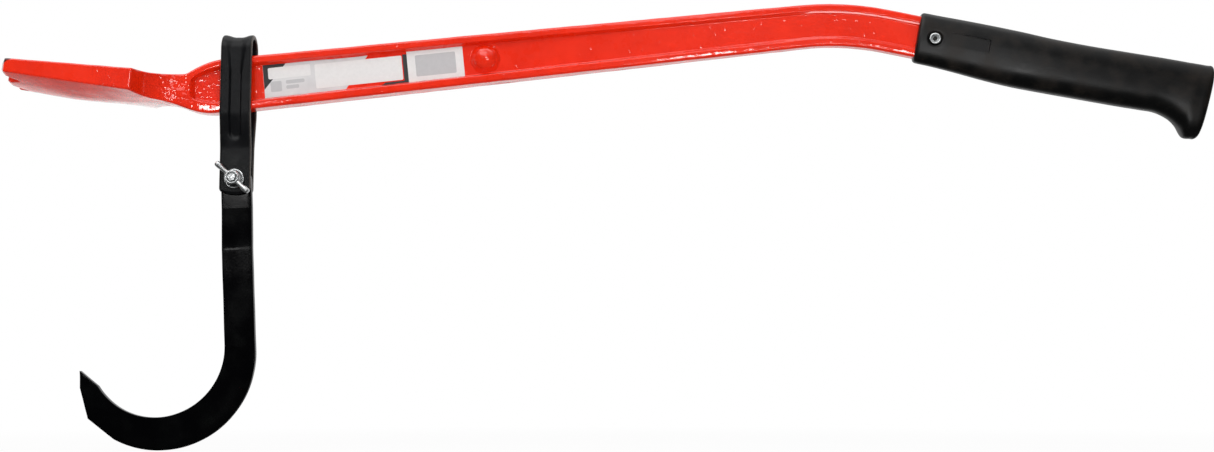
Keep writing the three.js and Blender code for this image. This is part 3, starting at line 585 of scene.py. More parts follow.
def leverSide(x, top, bottom, half):
    # points down one side, as (inset, z): a plain face that turns into the recess beside the web
    inside = min(x - webFrom, webTo - x)
    plain = [lerp(top, bottom, k / 20) for k in range(1, 20)]
    if inside < -bar["webApproach"]:
        return [(0.0, z) for z in plain]
    settled = max(0, min(1, (x - webFrom) / bar["flangeSettle"]))
    narrow = fallBack(bar["webCorner"], bar["webCorner"] - max(inside, 0))
    upper = heightAt(topLine, x) - bar["flange"] - narrow
    lower = heightAt(bottomLine, x) + lerp(bar["neckFlange"], bar["flange"], settled) + narrow
    sunk = ease(inside / bar["runout"])
    depth = (half - bar["web"] / 2) * sunk
    lip, fillet, draft = [bar[key] * max(sunk, 0.15) for key in ("lip", "fillet", "draft")]
    down = [(inset * min(1, sunk * 4), upper + rise) for inset, rise in arc(lip, lip, lip, 180, 270, 3)]
    down.append(((lip + depth - fillet) / 2, upper - draft / 2))
    down += [(depth - fillet + inset, upper - draft - fall)
             for inset, fall in arc(0, fillet, fillet, -90, 0, 3)]
    down = [(max(0.0, min(depth, inset)), z) for inset, z in down]
    up = [(inset, lower + upper - z) for inset, z in reversed(down)]
    panel = down + [(depth, (upper + lower) / 2)] + up
    blend = ease(1 + inside / bar["webApproach"])
    return [(inset, lerp(flatZ, z, blend)) for flatZ, (inset, z) in zip(plain, panel)]


def leverRing(place, normal):
    x, half = place
    settled = ease((x - heelX) / bar["edgeSettle"])
    edge, under = [lerp(bar[key], bar["edge"], settled) for key in ("bladeEdge", "underEdge")]
    worn = fallBack(bar["tipRound"], bar["tipRound"] - x)
    half -= worn * 0.8
    fall = max(0, 1 - x / bar["warpLength"])
    lean = math.tan(bar["bladeDrop"]) * (1 - max(0, min(1, (x - heelX) / bar["leanLength"])))
    floor = underside(x, half)

    def spot(px, y, side, drop):  # side is 1 for the top and -1 for the underside
        px += toothShift(y) * fall
        z = heightAt(topLine, px) - drop - worn if side > 0 else underside(px, y) + drop + worn * 0.5
        return Vector((px + lean * (z - floor), y, z))

    def faceAndRound(r, side):  # from the middle of the top or the underside to where its edge has turned by 60
        inner = Vector((x, half)) - normal * r
        spots = [spot(inner.x, inner.y * share, side, 0) for share in acrossShares()]
        for a in (30 * degree, 60 * degree):
            p = inner + normal * r * math.sin(a)
            spots.append(spot(p.x, p.y, side, r * (1 - math.cos(a))))
        return spots

    flank, foot = spot(x, half, 1, edge), spot(x, half, -1, under)
    right = faceAndRound(edge, 1) + [flank]
    for inset, z in leverSide(x, flank.z, foot.z, half):
        right.append(Vector((flank.x + lean * (z - flank.z), flank.y - inset, z)))
    right += [foot] + faceAndRound(under, -1)[::-1]
    return right + [Vector((p.x, -p.y, p.z)) for p in right[-2:0:-1]]


def makeLever():
    line = spaced(sideLine, stationGap)
    line = [line[0]] + [p for a, p in zip(line, line[1:]) if (p - a).length > 0.02]
    points, faces = lofted([leverRing(p, squareTo(line, i)) for i, p in enumerate(line)])
    rows = len(acrossShares())
    count = len(points) // len(line)
    half = count // 2
    faces.pop(-2)  # the tip's end face is made in strips, right and left
    for mirror in (lambda k: k, lambda k: (count - k) % count):
        for k in range(rows - 1):
            faces.append(tuple(mirror(j) for j in (k, k + 1, half - k - 1, half - k)))
        faces.append(tuple(mirror(j) for j in range(rows - 1, half - rows + 2)))
    lumpy = []
    for p in points:  # the webs stay flat under the labels
        onWeb = abs(p.y) < bar["web"] / 2 + 0.05 and webFrom < p.x < webTo
        lumpy.append(p if onWeb else uneven(p, *bar["lumps"]))
    return makePiece("leverForging", (lumpy, faces), (toolX, toolZ), redCoat, "lever", ("lever",),
                     sharp=42)


# Stop: the round pad that carries the rivet on each side of the web, and the rivet's two domed heads

stop = {
    "along": 190, "padBase": 11.0, "padTop": 7.2, "padHeight": 2.8, "padSkirt": 12.0, "sunk": 1.2,
    "lift": 0.2, "inner": 4.2, "radius": 7.6, "corner": 0.5, "rim": 0.7, "rise": 3.9,
    "padLumps": (4.5, 0.35), "rivetLumps": (4.5, 0.2),  # how wide and how high
}


def makeStop():
    at = shaftStart + alongShaft * stop["along"]
    place = (toolX + at.x, toolZ + at.y)
    web = bar["web"] / 2
    top = web + stop["padHeight"]
    pad = [(0, web - stop["sunk"]), (stop["padSkirt"], web - stop["sunk"])]
    for t in [k / 12 for k in range(13)]:
        pad.append((lerp(stop["padBase"], stop["padTop"], t), lerp(web - 0.1, top, ease(t))))
    pad.append((0, top + 0.1))
    for side, name in ((-1, "stopPadFront"), (1, "stopPadBack")):
        makePiece(name, revolved([(r, side * y) for r, y in pad], 72), place, redCoat, "lever",
                  lumps=stop["padLumps"])
    seat, flat, corner = top + stop["lift"], stop["radius"] - stop["corner"], stop["corner"]
    head = [(stop["inner"], seat), (flat, seat)] + arc(flat, seat + corner, corner, -90, 0, 4)
    head += domeArc(stop["radius"], seat + stop["rim"], stop["rise"])
    makePiece("stopRivetHeads", revolved([(r, -y) for r, y in reversed(head)] + head), place, redCoat,
              "lever", ("stop_rivet",), lumps=stop["rivetLumps"])


lever = makeLever()
makeStop()
print("stage: lever", len(lever.data.polygons), "faces")


# Grip: moulded round the tang, with a pommel, a counterbore on each side and a sunk plate on the front

handle = {
    "length": 206.4, "top": 18.2, "bottom": 20.4, "half": 11.6,
    "power": 2.7,  # squarer than an ellipse, which has 2
    "plateFromMouth": 36.3, "plateRise": 1.6, "plateLength": 27, "plateHeight": 9.4, "plateDepth": 1.1,
    "plateCorner": 0.7, "rivetFromMouth": 11.9, "bore": 5.05, "boreWide": 5.55, "boreDepth": 1.3,
    "voxel": 0.55, "smoothing": 3,
    # shares along the length, and of the top, bottom and half sizes
    "shares": [
        (0.0, 0.955, 0.84, 0.7), (0.01, 0.985, 0.87, 0.728), (0.06, 0.99, 0.88, 0.745),
        (0.14, 1.005, 0.92, 0.79), (0.24, 1.01, 0.99, 0.87), (0.34, 1.0, 1.03, 0.95), (0.45, 0.965, 1.015, 1.0),
        (0.58, 0.98, 0.985, 1.0), (0.7, 1.03, 0.955, 1.0), (0.79, 1.07, 0.92, 1.0), (0.823, 1.085, 0.907, 1.0),
        (0.854, 1.095, 0.956, 1.0), (0.887, 1.105, 1.078, 1.01), (0.911, 1.11, 1.26, 1.02),
        (0.929, 1.12, 1.495, 1.03), (0.938, 1.125, 1.574, 1.03), (0.955, 1.13, 1.59, 1.03),
        (0.975, 1.135, 1.565, 1.03), (0.99, 1.145, 1.56, 0.99), (1.0, 0.98, 1.47, 0.87),
    ],
    # rounded ends: by how much the section is smaller at a share along the length, in mm
    "endRounds": {0.0: 1.6, 0.0012: 0.9, 0.003: 0.45, 0.006: 0.15, 0.9985: 0.9, 0.9995: 2.2},
    "leanFrom": 0.94, "lean": 0.075,
    "rivetInner": 2.5, "rivetLip": 3.25, "lipRound": 0.75,
    "rivetDish": [(2.0, 0.15), (1.3, 0.45), (1.05, 1.2)],  # radius, and depth below the rivet's seat
}
gripPlace = (toolX + mouth.x, toolZ + mouth.y, bar["drop"])


def gripAt(share):  # a smooth curve through the table
    table = handle["shares"]
    i = max(0, min(len(table) - 2, bisect.bisect_right([row[0] for row in table], share) - 1))
    a, b = table[i], table[i + 1]
    before, after = table[max(i - 1, 0)], table[min(i + 2, len(table) - 1)]
    width = b[0] - a[0]
    t = (share - a[0]) / width
    out = []
    for k in (1, 2, 3):
        slopeA = (b[k] - before[k]) / (b[0] - before[0]) * width if i > 0 else b[k] - a[k]
        slopeB = (after[k] - a[k]) / (after[0] - a[0]) * width if i < len(table) - 2 else b[k] - a[k]
        h00, h10 = 2 * t ** 3 - 3 * t ** 2 + 1, t ** 3 - 2 * t ** 2 + t
        h01, h11 = -2 * t ** 3 + 3 * t ** 2, t ** 3 - t ** 2
        out.append(h00 * a[k] + h10 * slopeA + h01 * b[k] + h11 * slopeB)
    return out


def gripHalf(fromMouth):
    return gripAt(fromMouth / handle["length"])[2] * handle["half"]


def bowed(value, power):  # a sine or cosine for a section that is squarer than an ellipse
    return math.copysign(abs(value) ** power, value)


def gripRing(share, shrink, points=72):
    top, bottom, half = gripAt(share)
    high, low = top * handle["top"] - shrink, -bottom * handle["bottom"] + shrink
    half = half * handle["half"] - shrink
    lean = handle["lean"] * max(0, share - handle["leanFrom"]) / (1 - handle["leanFrom"])
    power = 2 / handle["power"]
    ring = []
    for a in [2 * math.pi * k / points for k in range(points)]:
        z = (high + low) / 2 + (high - low) / 2 * bowed(math.sin(a), power)
        ring.append(Vector((share * handle["length"] - lean * (high - z), half * bowed(math.cos(a), power), z)))
    return ring


def plateCutter():  # a box with round corners in plan
    face = -gripHalf(handle["plateFromMouth"])
    corner = handle["plateCorner"]
    outline = []
    for sx, sz, start in ((1, 1, 0), (-1, 1, 90), (-1, -1, 180), (1, -1, 270)):
        cx = handle["plateFromMouth"] + sx * (handle["plateLength"] / 2 - corner)
        cz = handle["plateRise"] + sz * (handle["plateHeight"] / 2 - corner)
        outline += arc(cx, cz, corner, start, start + 90, 4)
    return lofted([[Vector((x, y, z)) for x, z in outline] for y in (face + handle["plateDepth"], face - 6)])


def makeGrip():
    rounds = handle["endRounds"]
    shares = [k / 100 for k in range(1, 82)] + [0.81 + k / 300 for k in range(1, 57)] + list(rounds)
    shape = lofted([gripRing(share, rounds.get(share, 0.0)) for share in sorted(shares)])
    piece = makePiece("gripMoulding", shape, gripPlace, gripRubber, "lever", ("grip",), sharp=60)
    floor = gripHalf(handle["rivetFromMouth"]) - handle["boreDepth"]
    for side in (-1, 1):
        profile = [(0, 0), (handle["bore"], 0), (handle["boreWide"], 9), (0, 9)]
        bore = revolved([(r, side * (floor + y)) for r, y in profile], 48)
        cutAway(piece, movedAlong(bore, handle["rivetFromMouth"]), gripPlace)
    fused(piece, handle["voxel"], handle["smoothing"])
    cutAway(piece, plateCutter(), gripPlace)
    tidyMesh(piece.data, 50)
    return piece


def makeGripRivet():
    # a rolled hollow rivet: a round lip with a dished bore
    seat = gripHalf(handle["rivetFromMouth"]) - handle["boreDepth"] + 0.3
    half = [(handle["rivetInner"], seat)]
    half += arc(handle["rivetLip"], seat + 0.45, handle["lipRound"], -50, 160, 9)
    half += [(r, seat - below) for r, below in handle["rivetDish"]] + [(1.0, 0.0)]
    profile = half + [(r, -y) for r, y in half][::-1]
    rivet = movedAlong(revolved(profile + [profile[0]], 56), handle["rivetFromMouth"])
    makePiece("hollowRivet", rivet, gripPlace, zinc, "lever", ("grip_rivet",))


grip = makeGrip()
makeGripRivet()
print("stage: grip", len(grip.data.polygons), "faces")


# Strap: bent over the shaft, with a pressed groove and legs that close on the hook

loop = {
    "width": 21.4, "thickness": 3.2, "edge": 1.15, "slideGap": 0.5, "restGap": 0.3, "hookThickness": 5.5,
    "height": 98.4, "tail": 10.8, "tailRadius": 23, "tailCorner": 1.6, "tailRound": 0.9, "tailSettle": 9,
    "pinchTop": 45, "pinchBottom": 22, "bareFrom": 0.55,
    "grooveWidth": 9.0, "grooveDepth": 1.6, "grooveEnd": 26.6, "floorShare": 0.7,
    "crestFrom": 26, "crestRun": 28, "crestWidth": 18.5, "crestFloor": 0.2, "endFloor": 0.3,
    "lumps": (14, 0.08),
}
loopHalf = bar["thickness"] / 2 + loop["slideGap"]
pinchHalf = loop["hookThickness"] / 2 + loop["restGap"]
legFace = pinchHalf + loop["thickness"]


def strapPath():
    half = loop["thickness"] / 2
    bendZ = loop["height"] - loopHalf
    leg = roundedLine([
        (-loop["tail"], pinchHalf + half), (loop["pinchBottom"], pinchHalf + half, loop["pinchBottom"]),
        (loop["pinchTop"], loopHalf + half, loop["pinchBottom"]), (bendZ, loopHalf + half),
    ], step=1.5)
    leg = spaced(leg, lambda z: 0.5 if z < -loop["tail"] + 3 else 1.1)
    front = [Vector((-p.y, p.x)) for p in leg]
    bend = [Vector(p) for p in arc(0, bendZ, loopHalf + half, 180, 0, 40)[1:-1]]
    back = [Vector((-p.x, p.y)) for p in front][::-1]
    return front + bend + back


def grooveDip(x, z):  # how deep the pressed groove is at a place on a leg; over the crest it opens out
    top = ease((z - loop["height"] + loop["crestFrom"]) / loop["crestRun"])
    half = lerp(loop["grooveWidth"], loop["crestWidth"], top) / 2
    centre = loop["grooveEnd"] + half
    away = abs(x) if z > centre else math.hypot(x, centre - z)
    u = away / half
    if u >= 1:
        return 0.0
    floorShare = lerp(loop["floorShare"], loop["crestFloor"], top)
    if z < centre:  # the lower end slopes up gently
        floorShare = lerp(floorShare, loop["endFloor"], (centre - z) / max(away, 0.01))
    return loop["grooveDepth"] * (1 if u < floorShare else ease((1 - u) / (1 - floorShare)))


def makeStrap():
    half, wide, edge = loop["thickness"] / 2, loop["width"] / 2, loop["edge"]
    path = strapPath()
    rings = []
    for i, p in enumerate(path):
        outward = squareTo(path, i)
        fromEnd = p.y + loop["tail"]
        nearEnd = max(0, 1 - fromEnd / loop["tailSettle"])
        side, face = wide - edge, half - edge - fallBack(loop["tailRound"], loop["tailRound"] - fromEnd)
        section = []
        for x in [lerp(-side, side, k / 30) for k in range(31)]:
            section.append((x, face + edge - grooveDip(x, p.y)))
        section += arc(side, face, edge, 60, 0, 2) + arc(side, -face, edge, 0, -60, 2)
        section += [(lerp(side, -side, k / 8), -face - edge) for k in range(9)]
        section += arc(-side, -face, edge, -120, -180, 2) + arc(-side, face, edge, 180, 120, 2)
        ring = []
        for x, out in section:
            back = fallBack(loop["tailRadius"], abs(x))
            back += fallBack(loop["tailCorner"], abs(x) - (wide - loop["tailCorner"]))
            ring.append(Vector((x, p.x + out * outward.x, p.y + out * outward.y + back * nearEnd)))
        rings.append(ring)
    return makePiece("strapLoop", lofted(rings), (boltX, boltZ), strapCoat, "strap",
                     ("hook_strap",), sharp=50, lumps=loop["lumps"], extra=(bareEdge,),
                     chooser=lambda c: 1 if abs(c.x - boltX) > wide - loop["bareFrom"] else 0)


strap = makeStrap()
print("stage: strap", len(strap.data.polygons), "faces")


# Hook: cut from flat steel, set towards the viewer, with a bevelled point and a ground back edge

cant = {
    "lean": 3.1 * degree, "width": 20.8, "thickness": 5.5, "edge": 0.9, "headRadius": 10.4, "headTurn": 79,
    "crease": 19.8, "creaseRound": 2.5, "joggleDrop": 48, "joggleRound": 22, "joggle": 3.2,
    "outerDrop": 117.9, "outerRadius": 64.3, "outerEnd": 121,
    "innerDrop": 113.5, "innerRadius": 46.3, "innerEnd": 150.5,
    "wornWidth": 3.3, "wornDepth": 1.1, "wornStart": 20,
    "heel": (-104.2, -158.3), "bevel": (-109, -137.2), "point": (-108.7, -125.7), "pointWidth": 1.2,
    "lumps": (17, 0.1),
}


def hookRing(outer, inner, y, worn):
    width = (outer - inner).length
    back = (outer - inner) / width
    half = cant["thickness"] / 2
    edge = min(cant["edge"], width / 4)
    wornWide = lerp(edge, min(cant["wornWidth"], width / 3), worn)
    wornDeep = lerp(edge, cant["wornDepth"], worn)
    # the inner edge, the back, and the outer edge's back side
    section = arc(edge, edge - half, edge, 270, 180, 3) + arc(edge, half - edge, edge, 180, 90, 3)
    section += [(lerp(edge, width - edge, k / 7), half) for k in range(1, 7)]
    section += arc(width - edge, half - edge, edge, 90, 0, 3)
    # the outer edge's front side, round at first and ground flat further down, and the front
    for t in (0, 0.33, 0.67, 1):
        a = t * 90 * degree
        soft = (width - edge + edge * math.cos(a), edge - edge * math.sin(a) - half)
        flat = (width - wornWide * t, lerp(wornDeep, 0, t) - half)
        section.append((lerp(soft[0], flat[0], worn), lerp(soft[1], flat[1], worn)))
    section += [(lerp(width - wornWide, edge, k / 7), -half) for k in range(1, 7)]
    return [Vector((inner.x + across * back.x, y + deep, inner.y + across * back.y))
            for across, deep in section]


def makeHook():
    half, radius, y = cant["width"] / 2, cant["headRadius"], -cant["joggle"]
    joggle = roundedLine([
        (-cant["outerDrop"], y), (-cant["joggleDrop"], y, cant["joggleRound"]),
        (-cant["crease"], 0, cant["creaseRound"]), (radius, 0),
    ])
    rings = []
    for x, z in arc(0, 0, radius, cant["headTurn"], 0, 12):
        rings.append(hookRing(Vector((x, z)), Vector((-x, z)), 0, 0))
    down = spaced([Vector((p.x, 0)) for p in joggle], lambda z: 1.6)
    for z in sorted({round(p.x, 3) for p in down if -cant["outerDrop"] < p.x < 0}, reverse=True):
        rings.append(hookRing(Vector((half, z)), Vector((-half, z)), heightAt(joggle, z), 0))
    # round the bowl: the outer and the inner curve have centres and turns of their own
    outerRadius, innerRadius = cant["outerRadius"], cant["innerRadius"]
    outerCurve = arc(half - outerRadius, -cant["outerDrop"], outerRadius, 0, -cant["outerEnd"], 60)
    innerCurve = arc(-half - innerRadius, -cant["innerDrop"], innerRadius, 0, -cant["innerEnd"], 60)
    for k, (outer, inner) in enumerate(zip(outerCurve, innerCurve)):
        worn = ease(cant["outerEnd"] * k / 60 / cant["wornStart"])
        rings.append(hookRing(Vector(outer), Vector(inner), y, worn))
    outer, inner = Vector(outer), Vector(inner)
    heel, bevel, point = Vector(cant["heel"]), Vector(cant["bevel"]), Vector(cant["point"])
    beside = point + (bevel - point).normalized() * cant["pointWidth"]
    # along the straight back to the heel, up the bevel, and in to the point, a third of the inside for each
    for start, end, steps, third, wornFrom, wornTo in (
            (outer, heel, 8, 0, 1, 1), (heel, bevel, 6, 1, 1, 0), (bevel, beside, 4, 2, 0, 0)):
        for k in range(1, steps + 1):
            t = k / steps
            rings.append(hookRing(start.lerp(end, t), inner.lerp(point, (third + t) / 3), y,
                                  lerp(wornFrom, wornTo, t)))
    return makePiece("cantHook", lofted(rings), (boltX, boltZ, -cant["lean"]), hookCoat, "hook",
                     ("hook",), sharp=24, lumps=cant["lumps"])


hook = makeHook()
print("stage: hook", len(hook.data.polygons), "faces")


# Bolt, washer and wing nut

bolt = {
    "radius": 3.0, "pitch": 1.0, "threadDepth": 0.32, "threadTurns": 12, "headRadius": 6.8, "headCorner": 0.35,
    "headRim": 0.7, "headCrown": 2.8, "pastNut": 0.6, "tipTaper": 0.9, "tipSlim": 0.55,
    "washerRadius": 6.7, "washerThickness": 1.3, "washerCorner": 0.4, "gap": 0.3,
}
wingNut = {
    "turn": 42.5 * degree, "baseRadius": 5.9, "topRadius": 4.9, "height": 7.6, "reach": 13.4,
    "lift": 5.2, "wingThickness": 2.9, "tipRadius": 3.1, "tipThickness": 4.1, "tipBlunt": 1.7,
    "voxel": 0.24, "smoothing": 2, "power": 0.7,
}
washerSeat = legFace + bolt["gap"]
nutSeat = washerSeat + bolt["washerThickness"] + bolt["gap"]
boltEnd = -(nutSeat + wingNut["height"] + bolt["pastNut"])


def makeBolt():
    seat, sides = legFace + 0.15, 48
    rings = [ringAt(0.2, boltEnd - 0.05, sides)]
    for k in range(bolt["threadTurns"] * 8 + 1):  # a helical thread, deepest half a pitch after each crest
        y = boltEnd + k * bolt["pitch"] / 8
        taper = min(1, (y - boltEnd) / bolt["tipTaper"])
        ring = []
        for j in range(sides):
            a = 2 * math.pi * j / sides
            wave = abs(((y / bolt["pitch"] - j / sides) % 1) * 2 - 1)
            threaded = bolt["radius"] - bolt["threadDepth"] * wave
            radius = lerp(bolt["radius"] - bolt["tipSlim"], threaded, taper)
            ring.append(Vector((radius * math.cos(a), y, radius * math.sin(a))))
        rings.append(ring)
    corner = bolt["headCorner"]
    head = [(bolt["radius"], seat)] + arc(bolt["headRadius"] - corner, seat + corner, corner, -90, 0, 4)
    head += domeArc(bolt["headRadius"], seat + bolt["headRim"], bolt["headCrown"])
    rings += [ringAt(radius, y, sides) for radius, y in head[:-1] + [(0.1, head[-1][1])]]
    makePiece("carriageBolt", lofted(rings), (boltX, boltZ), zinc, "strap", ("hook_bolt",),
              sharp=50)


def makeWasher():
    inner, outer, corner = bolt["radius"] + 0.25, bolt["washerRadius"], bolt["washerCorner"]
    near, far = -washerSeat, -washerSeat - bolt["washerThickness"]
    profile = [(inner, near), (inner, far), (outer - corner, far)]
    profile += arc(outer - corner, far + corner, corner, -60, 0, 3)
    profile += [(outer, near - 0.05), (outer - 0.1, near), (inner, near)]
    makePiece("plainWasher", revolved(profile), (boltX, boltZ), zinc, "strap", ("bolt_washer",))


def makeWingNut():
    # hub and wings overlap as shells and are fused to one casting
    inner, height, blunt = bolt["radius"] + 0.2, wingNut["height"], wingNut["tipThickness"] / 2
    base, top = wingNut["baseRadius"], wingNut["topRadius"]
    hub = revolved([
        (inner + 0.5, 0.0), (base - 0.3, 0.0), (base, 0.35), (base, 1.5), (top + 0.25, height - 1.1),
        (top - 0.5, height), (inner + 0.5, height), (inner, height - 0.5), (inner, 0.5), (inner + 0.5, 0.0),
    ], 72)
    rows = []  # (x, half thickness, half height, z) from inside the hub's wall out to the round tip
    for t in [k / 16 for k in range(17)]:
        x, z = lerp(inner + 0.4, wingNut["reach"], t), lerp(height * 0.5, wingNut["lift"], ease(t))
        thick = lerp(wingNut["wingThickness"] * 1.25, wingNut["wingThickness"], ease(t * 2)) / 2
        thick = lerp(thick, blunt, ease((t - 0.45) / 0.4))
        rows.append((x, thick, lerp(height * 0.42, wingNut["tipRadius"], ease(t * 1.2)), z))
    for a in [k / 8 * 90 * degree for k in range(1, 8)]:
        soft = math.cos(a) ** 0.4
        rows.append((wingNut["reach"] + wingNut["tipBlunt"] * math.sin(a), blunt * soft,
                     wingNut["tipRadius"] * soft, wingNut["lift"]))
    wings = []
    for side in (-1, 1):
        wings.append(lofted([[
            Vector((side * x, z + tall * bowed(math.sin(a), wingNut["power"]),
                    thick * bowed(math.cos(a), wingNut["power"])))
            for a in [2 * math.pi * j / 24 for j in range(24)]] for x, thick, tall, z in rows]))
    points, faces = joined([hub] + wings)
    flipped = [Vector((p.x, -nutSeat - p.y, p.z)) for p in points]
    piece = makePiece("wingNut", (flipped, faces), (boltX, boltZ, wingNut["turn"]), zinc, "wing_nut",
                      ("wing_nut",), sharp=60)
    fused(piece, wingNut["voxel"], wingNut["smoothing"])
    return piece


makeBolt()
makeWasher()
nut = makeWingNut()
print("stage: fasteners, wing nut", len(nut.data.polygons), "faces")


# Labels on the sunk web: a silver film with printed blocks and panels, and a white sticker

label = {
    "filmLift": 0.1, "printLift": 0.14, "thickness": 0.1, "corner": 1.0, "stickerCorner": 0.4,
    # outlines as (along the shaft from its start, across it)
    "film": [(35.8, 12.2), (109.8, 12.2), (91.6, -11.6), (35.8, -11.6)],
    "darkCorner": [(35.9, 12.1), (52.4, 12.1), (35.9, -5.6)],
    "darkBand": [(115.8, -11.6), (119.8, -9.3), (132.9, -9.3), (132.9, 9.2), (136.4, 9.2), (136.4, -11.6)],
    # panels as (from, to) along the shaft and (from, to) across it
    "panels": [(39.2, 68.6, 1.3, 9.3), (71.6, 132.2, -8.5, 8.6)],
    "smallPanels": [(40.2, 48.0, -7.8, -0.4), (51.0, 64.0, -3.0, -0.4), (51.0, 60.0, -6.6, -4.0)],
    "sticker": (135.9, 174.9, -11.7, 12.1), "stickerPanel": (141.5, 169.5, -7.4, 7.6),
}


def roundedPanel(box, corner=label["corner"]):
    u0, u1, v0, v1 = box
    outline = []
    for u, v, turn in ((u1 - corner, v1 - corner, 0), (u0 + corner, v1 - corner, 90),
                       (u0 + corner, v0 + corner, 180), (u1 - corner, v0 + corner, 270)):
        outline += arc(u, v, corner, turn, turn + 90, 4)
    return outline


def sheetShape(outline, lift):  # a thin sheet on the front of the web, with a slightly rolled edge
    middle = sum((Vector(p) for p in outline), Vector((0, 0))) / len(outline)
    rings = []
    for depth, inwards in ((lift + label["thickness"], 0.0), (0.02, 0.0), (0.0, 0.05)):
        ring = []
        for u, v in outline:
            u -= math.copysign(inwards, u - middle.x)
            v -= math.copysign(inwards, v - middle.y)
            at = shaftStart + alongShaft * u
            centre = (heightAt(topLine, at.x) + heightAt(bottomLine, at.x)) / 2
            y = depth - lift - bar["web"] / 2
            ring.append(Vector((at.x - v * alongShaft.y, y, centre + v * alongShaft.x)))
        rings.append(ring)
    return lofted(rings)


# Metallised polyester film, rolled: a pale satin grey that shifts a little along its length.
silverFilm = twoTone("metallisedPolyesterFilm", {"Metallic": 0.2, "Roughness": 0.34}, {
    "tones": ("#E0DFDF", "#C4C3C4"), "drift": (9.0, 3.0), "grain": (0.6, 2.0), "relief": (0.3, 0.02),
})
# Screen-printed black ink: a dense black with a dull sheen.
blackInk = twoTone("screenPrintedBlackInk", {"Roughness": 0.45}, {
    "tones": ("#1B1A1B", "#29282A"), "drift": (6.0, 3.0), "grain": (0.6, 2.0), "relief": (0.3, 0.02),
})
# Coated paper, calendered: a clean white with a faint fibre, drawn as coarse as it needs to show.
whitePaper = twoTone("coatedLabelPaper", {"Roughness": 0.5}, {
    "tones": ("#E9E8E7", "#DDDCDB"), "drift": (2.0, 3.0), "grain": (0.6, 2.0), "relief": (0.3, 0.02),
})
# Screen-printed grey tint on paper: a flat pale grey.
greyTint = twoTone("screenPrintedGreyTint", {"Roughness": 0.5}, {
    "tones": ("#C3C3C4", "#B6B6B8"), "drift": (3.0, 3.0), "grain": (0.6, 2.0), "relief": (0.3, 0.02),
})

for name, outlines, lift, material in (
        ("labelFilm", [label["film"]], label["filmLift"], silverFilm),
        ("labelDarkBlocks", [label["darkCorner"], label["darkBand"]], label["printLift"], blackInk),
        ("labelPanels", [roundedPanel(box) for box in label["panels"]], label["printLift"] + 0.03, whitePaper),
        ("labelSmallPanels", [roundedPanel(box) for box in label["smallPanels"]], label["printLift"], greyTint),
        ("labelSticker", [roundedPanel(label["sticker"], label["stickerCorner"])], label["printLift"] + 0.05,
         whitePaper),
        ("labelStickerPanel", [roundedPanel(label["stickerPanel"])], label["printLift"] + 0.08, greyTint)):
    sheets = joined([sheetShape(outline, lift) for outline in outlines])
    makePiece(name, sheets, (toolX, toolZ), material, "lever")
print("stage: labels")


# Floor, light and camera

studio = {
    "floorColour": "#EDEDED", "floorRoughness": 0.9, "floorHalf": 8000, "floorDrop": 0.4,  # mm
    "floorWhite": 0.95,  # how white the floor shows under the object
    "whiteRun": (0.3, 1.1),  # metres from the middle, over which it turns all white
    "floorGloss": 0.1,  # how white it is in a reflection in front of the tool
    "glossRun": (0.0, 1.0),  # metres behind the tool, over which a reflection of it turns all white
    "ambient": 0.19,  # the room's light on the object
    "eyeLevel": 0.1,  # how white the room is in a reflection at eye level in front
    "whiteAbove": (0.3, 0.85), "whiteBehind": (0.1, 0.7),  # how far up and how far back it turns white
    # each lamp's place, aim and size in metres, and its power in watts
    "lamps": {
        "keyBox": ((-0.5, -1.15, 1.35), (-0.05, 0, 0.2), (2.0, 1.2), 17),
        "overheadBox": ((0.0, 0.0, 1.5), (0, 0, 0.2), (1.5, 0.7), 5),
        "lowBox": ((0.36, -1.25, 0.09), (0.33, 0, 0.26), (0.5, 0.16), 2.4),  # the band along the grip
        # small lamps that the rough enamel breaks into glints
        "smallBox1": ((-0.62, -1.5, 0.41), (-0.372, 0, 0.24), (0.12, 0.12), 1.15),
        "smallBox2": ((0.2, -1.5, 0.45), (0.12, 0, 0.24), (0.12, 0.12), 1.15),
        "smallBox3": ((0.5, -1.5, 0.45), (0.3, 0, 0.24), (0.12, 0.12), 1.15),
    },
    "cameraPlace": (-5.0, -1094.995, 33.9),  # mm
    "cameraTilt": 6.2065,  # degrees up
    "focal": 1600 / 1214,  # the focal length as a share of the image's width
    "sensor": 36,  # mm
}


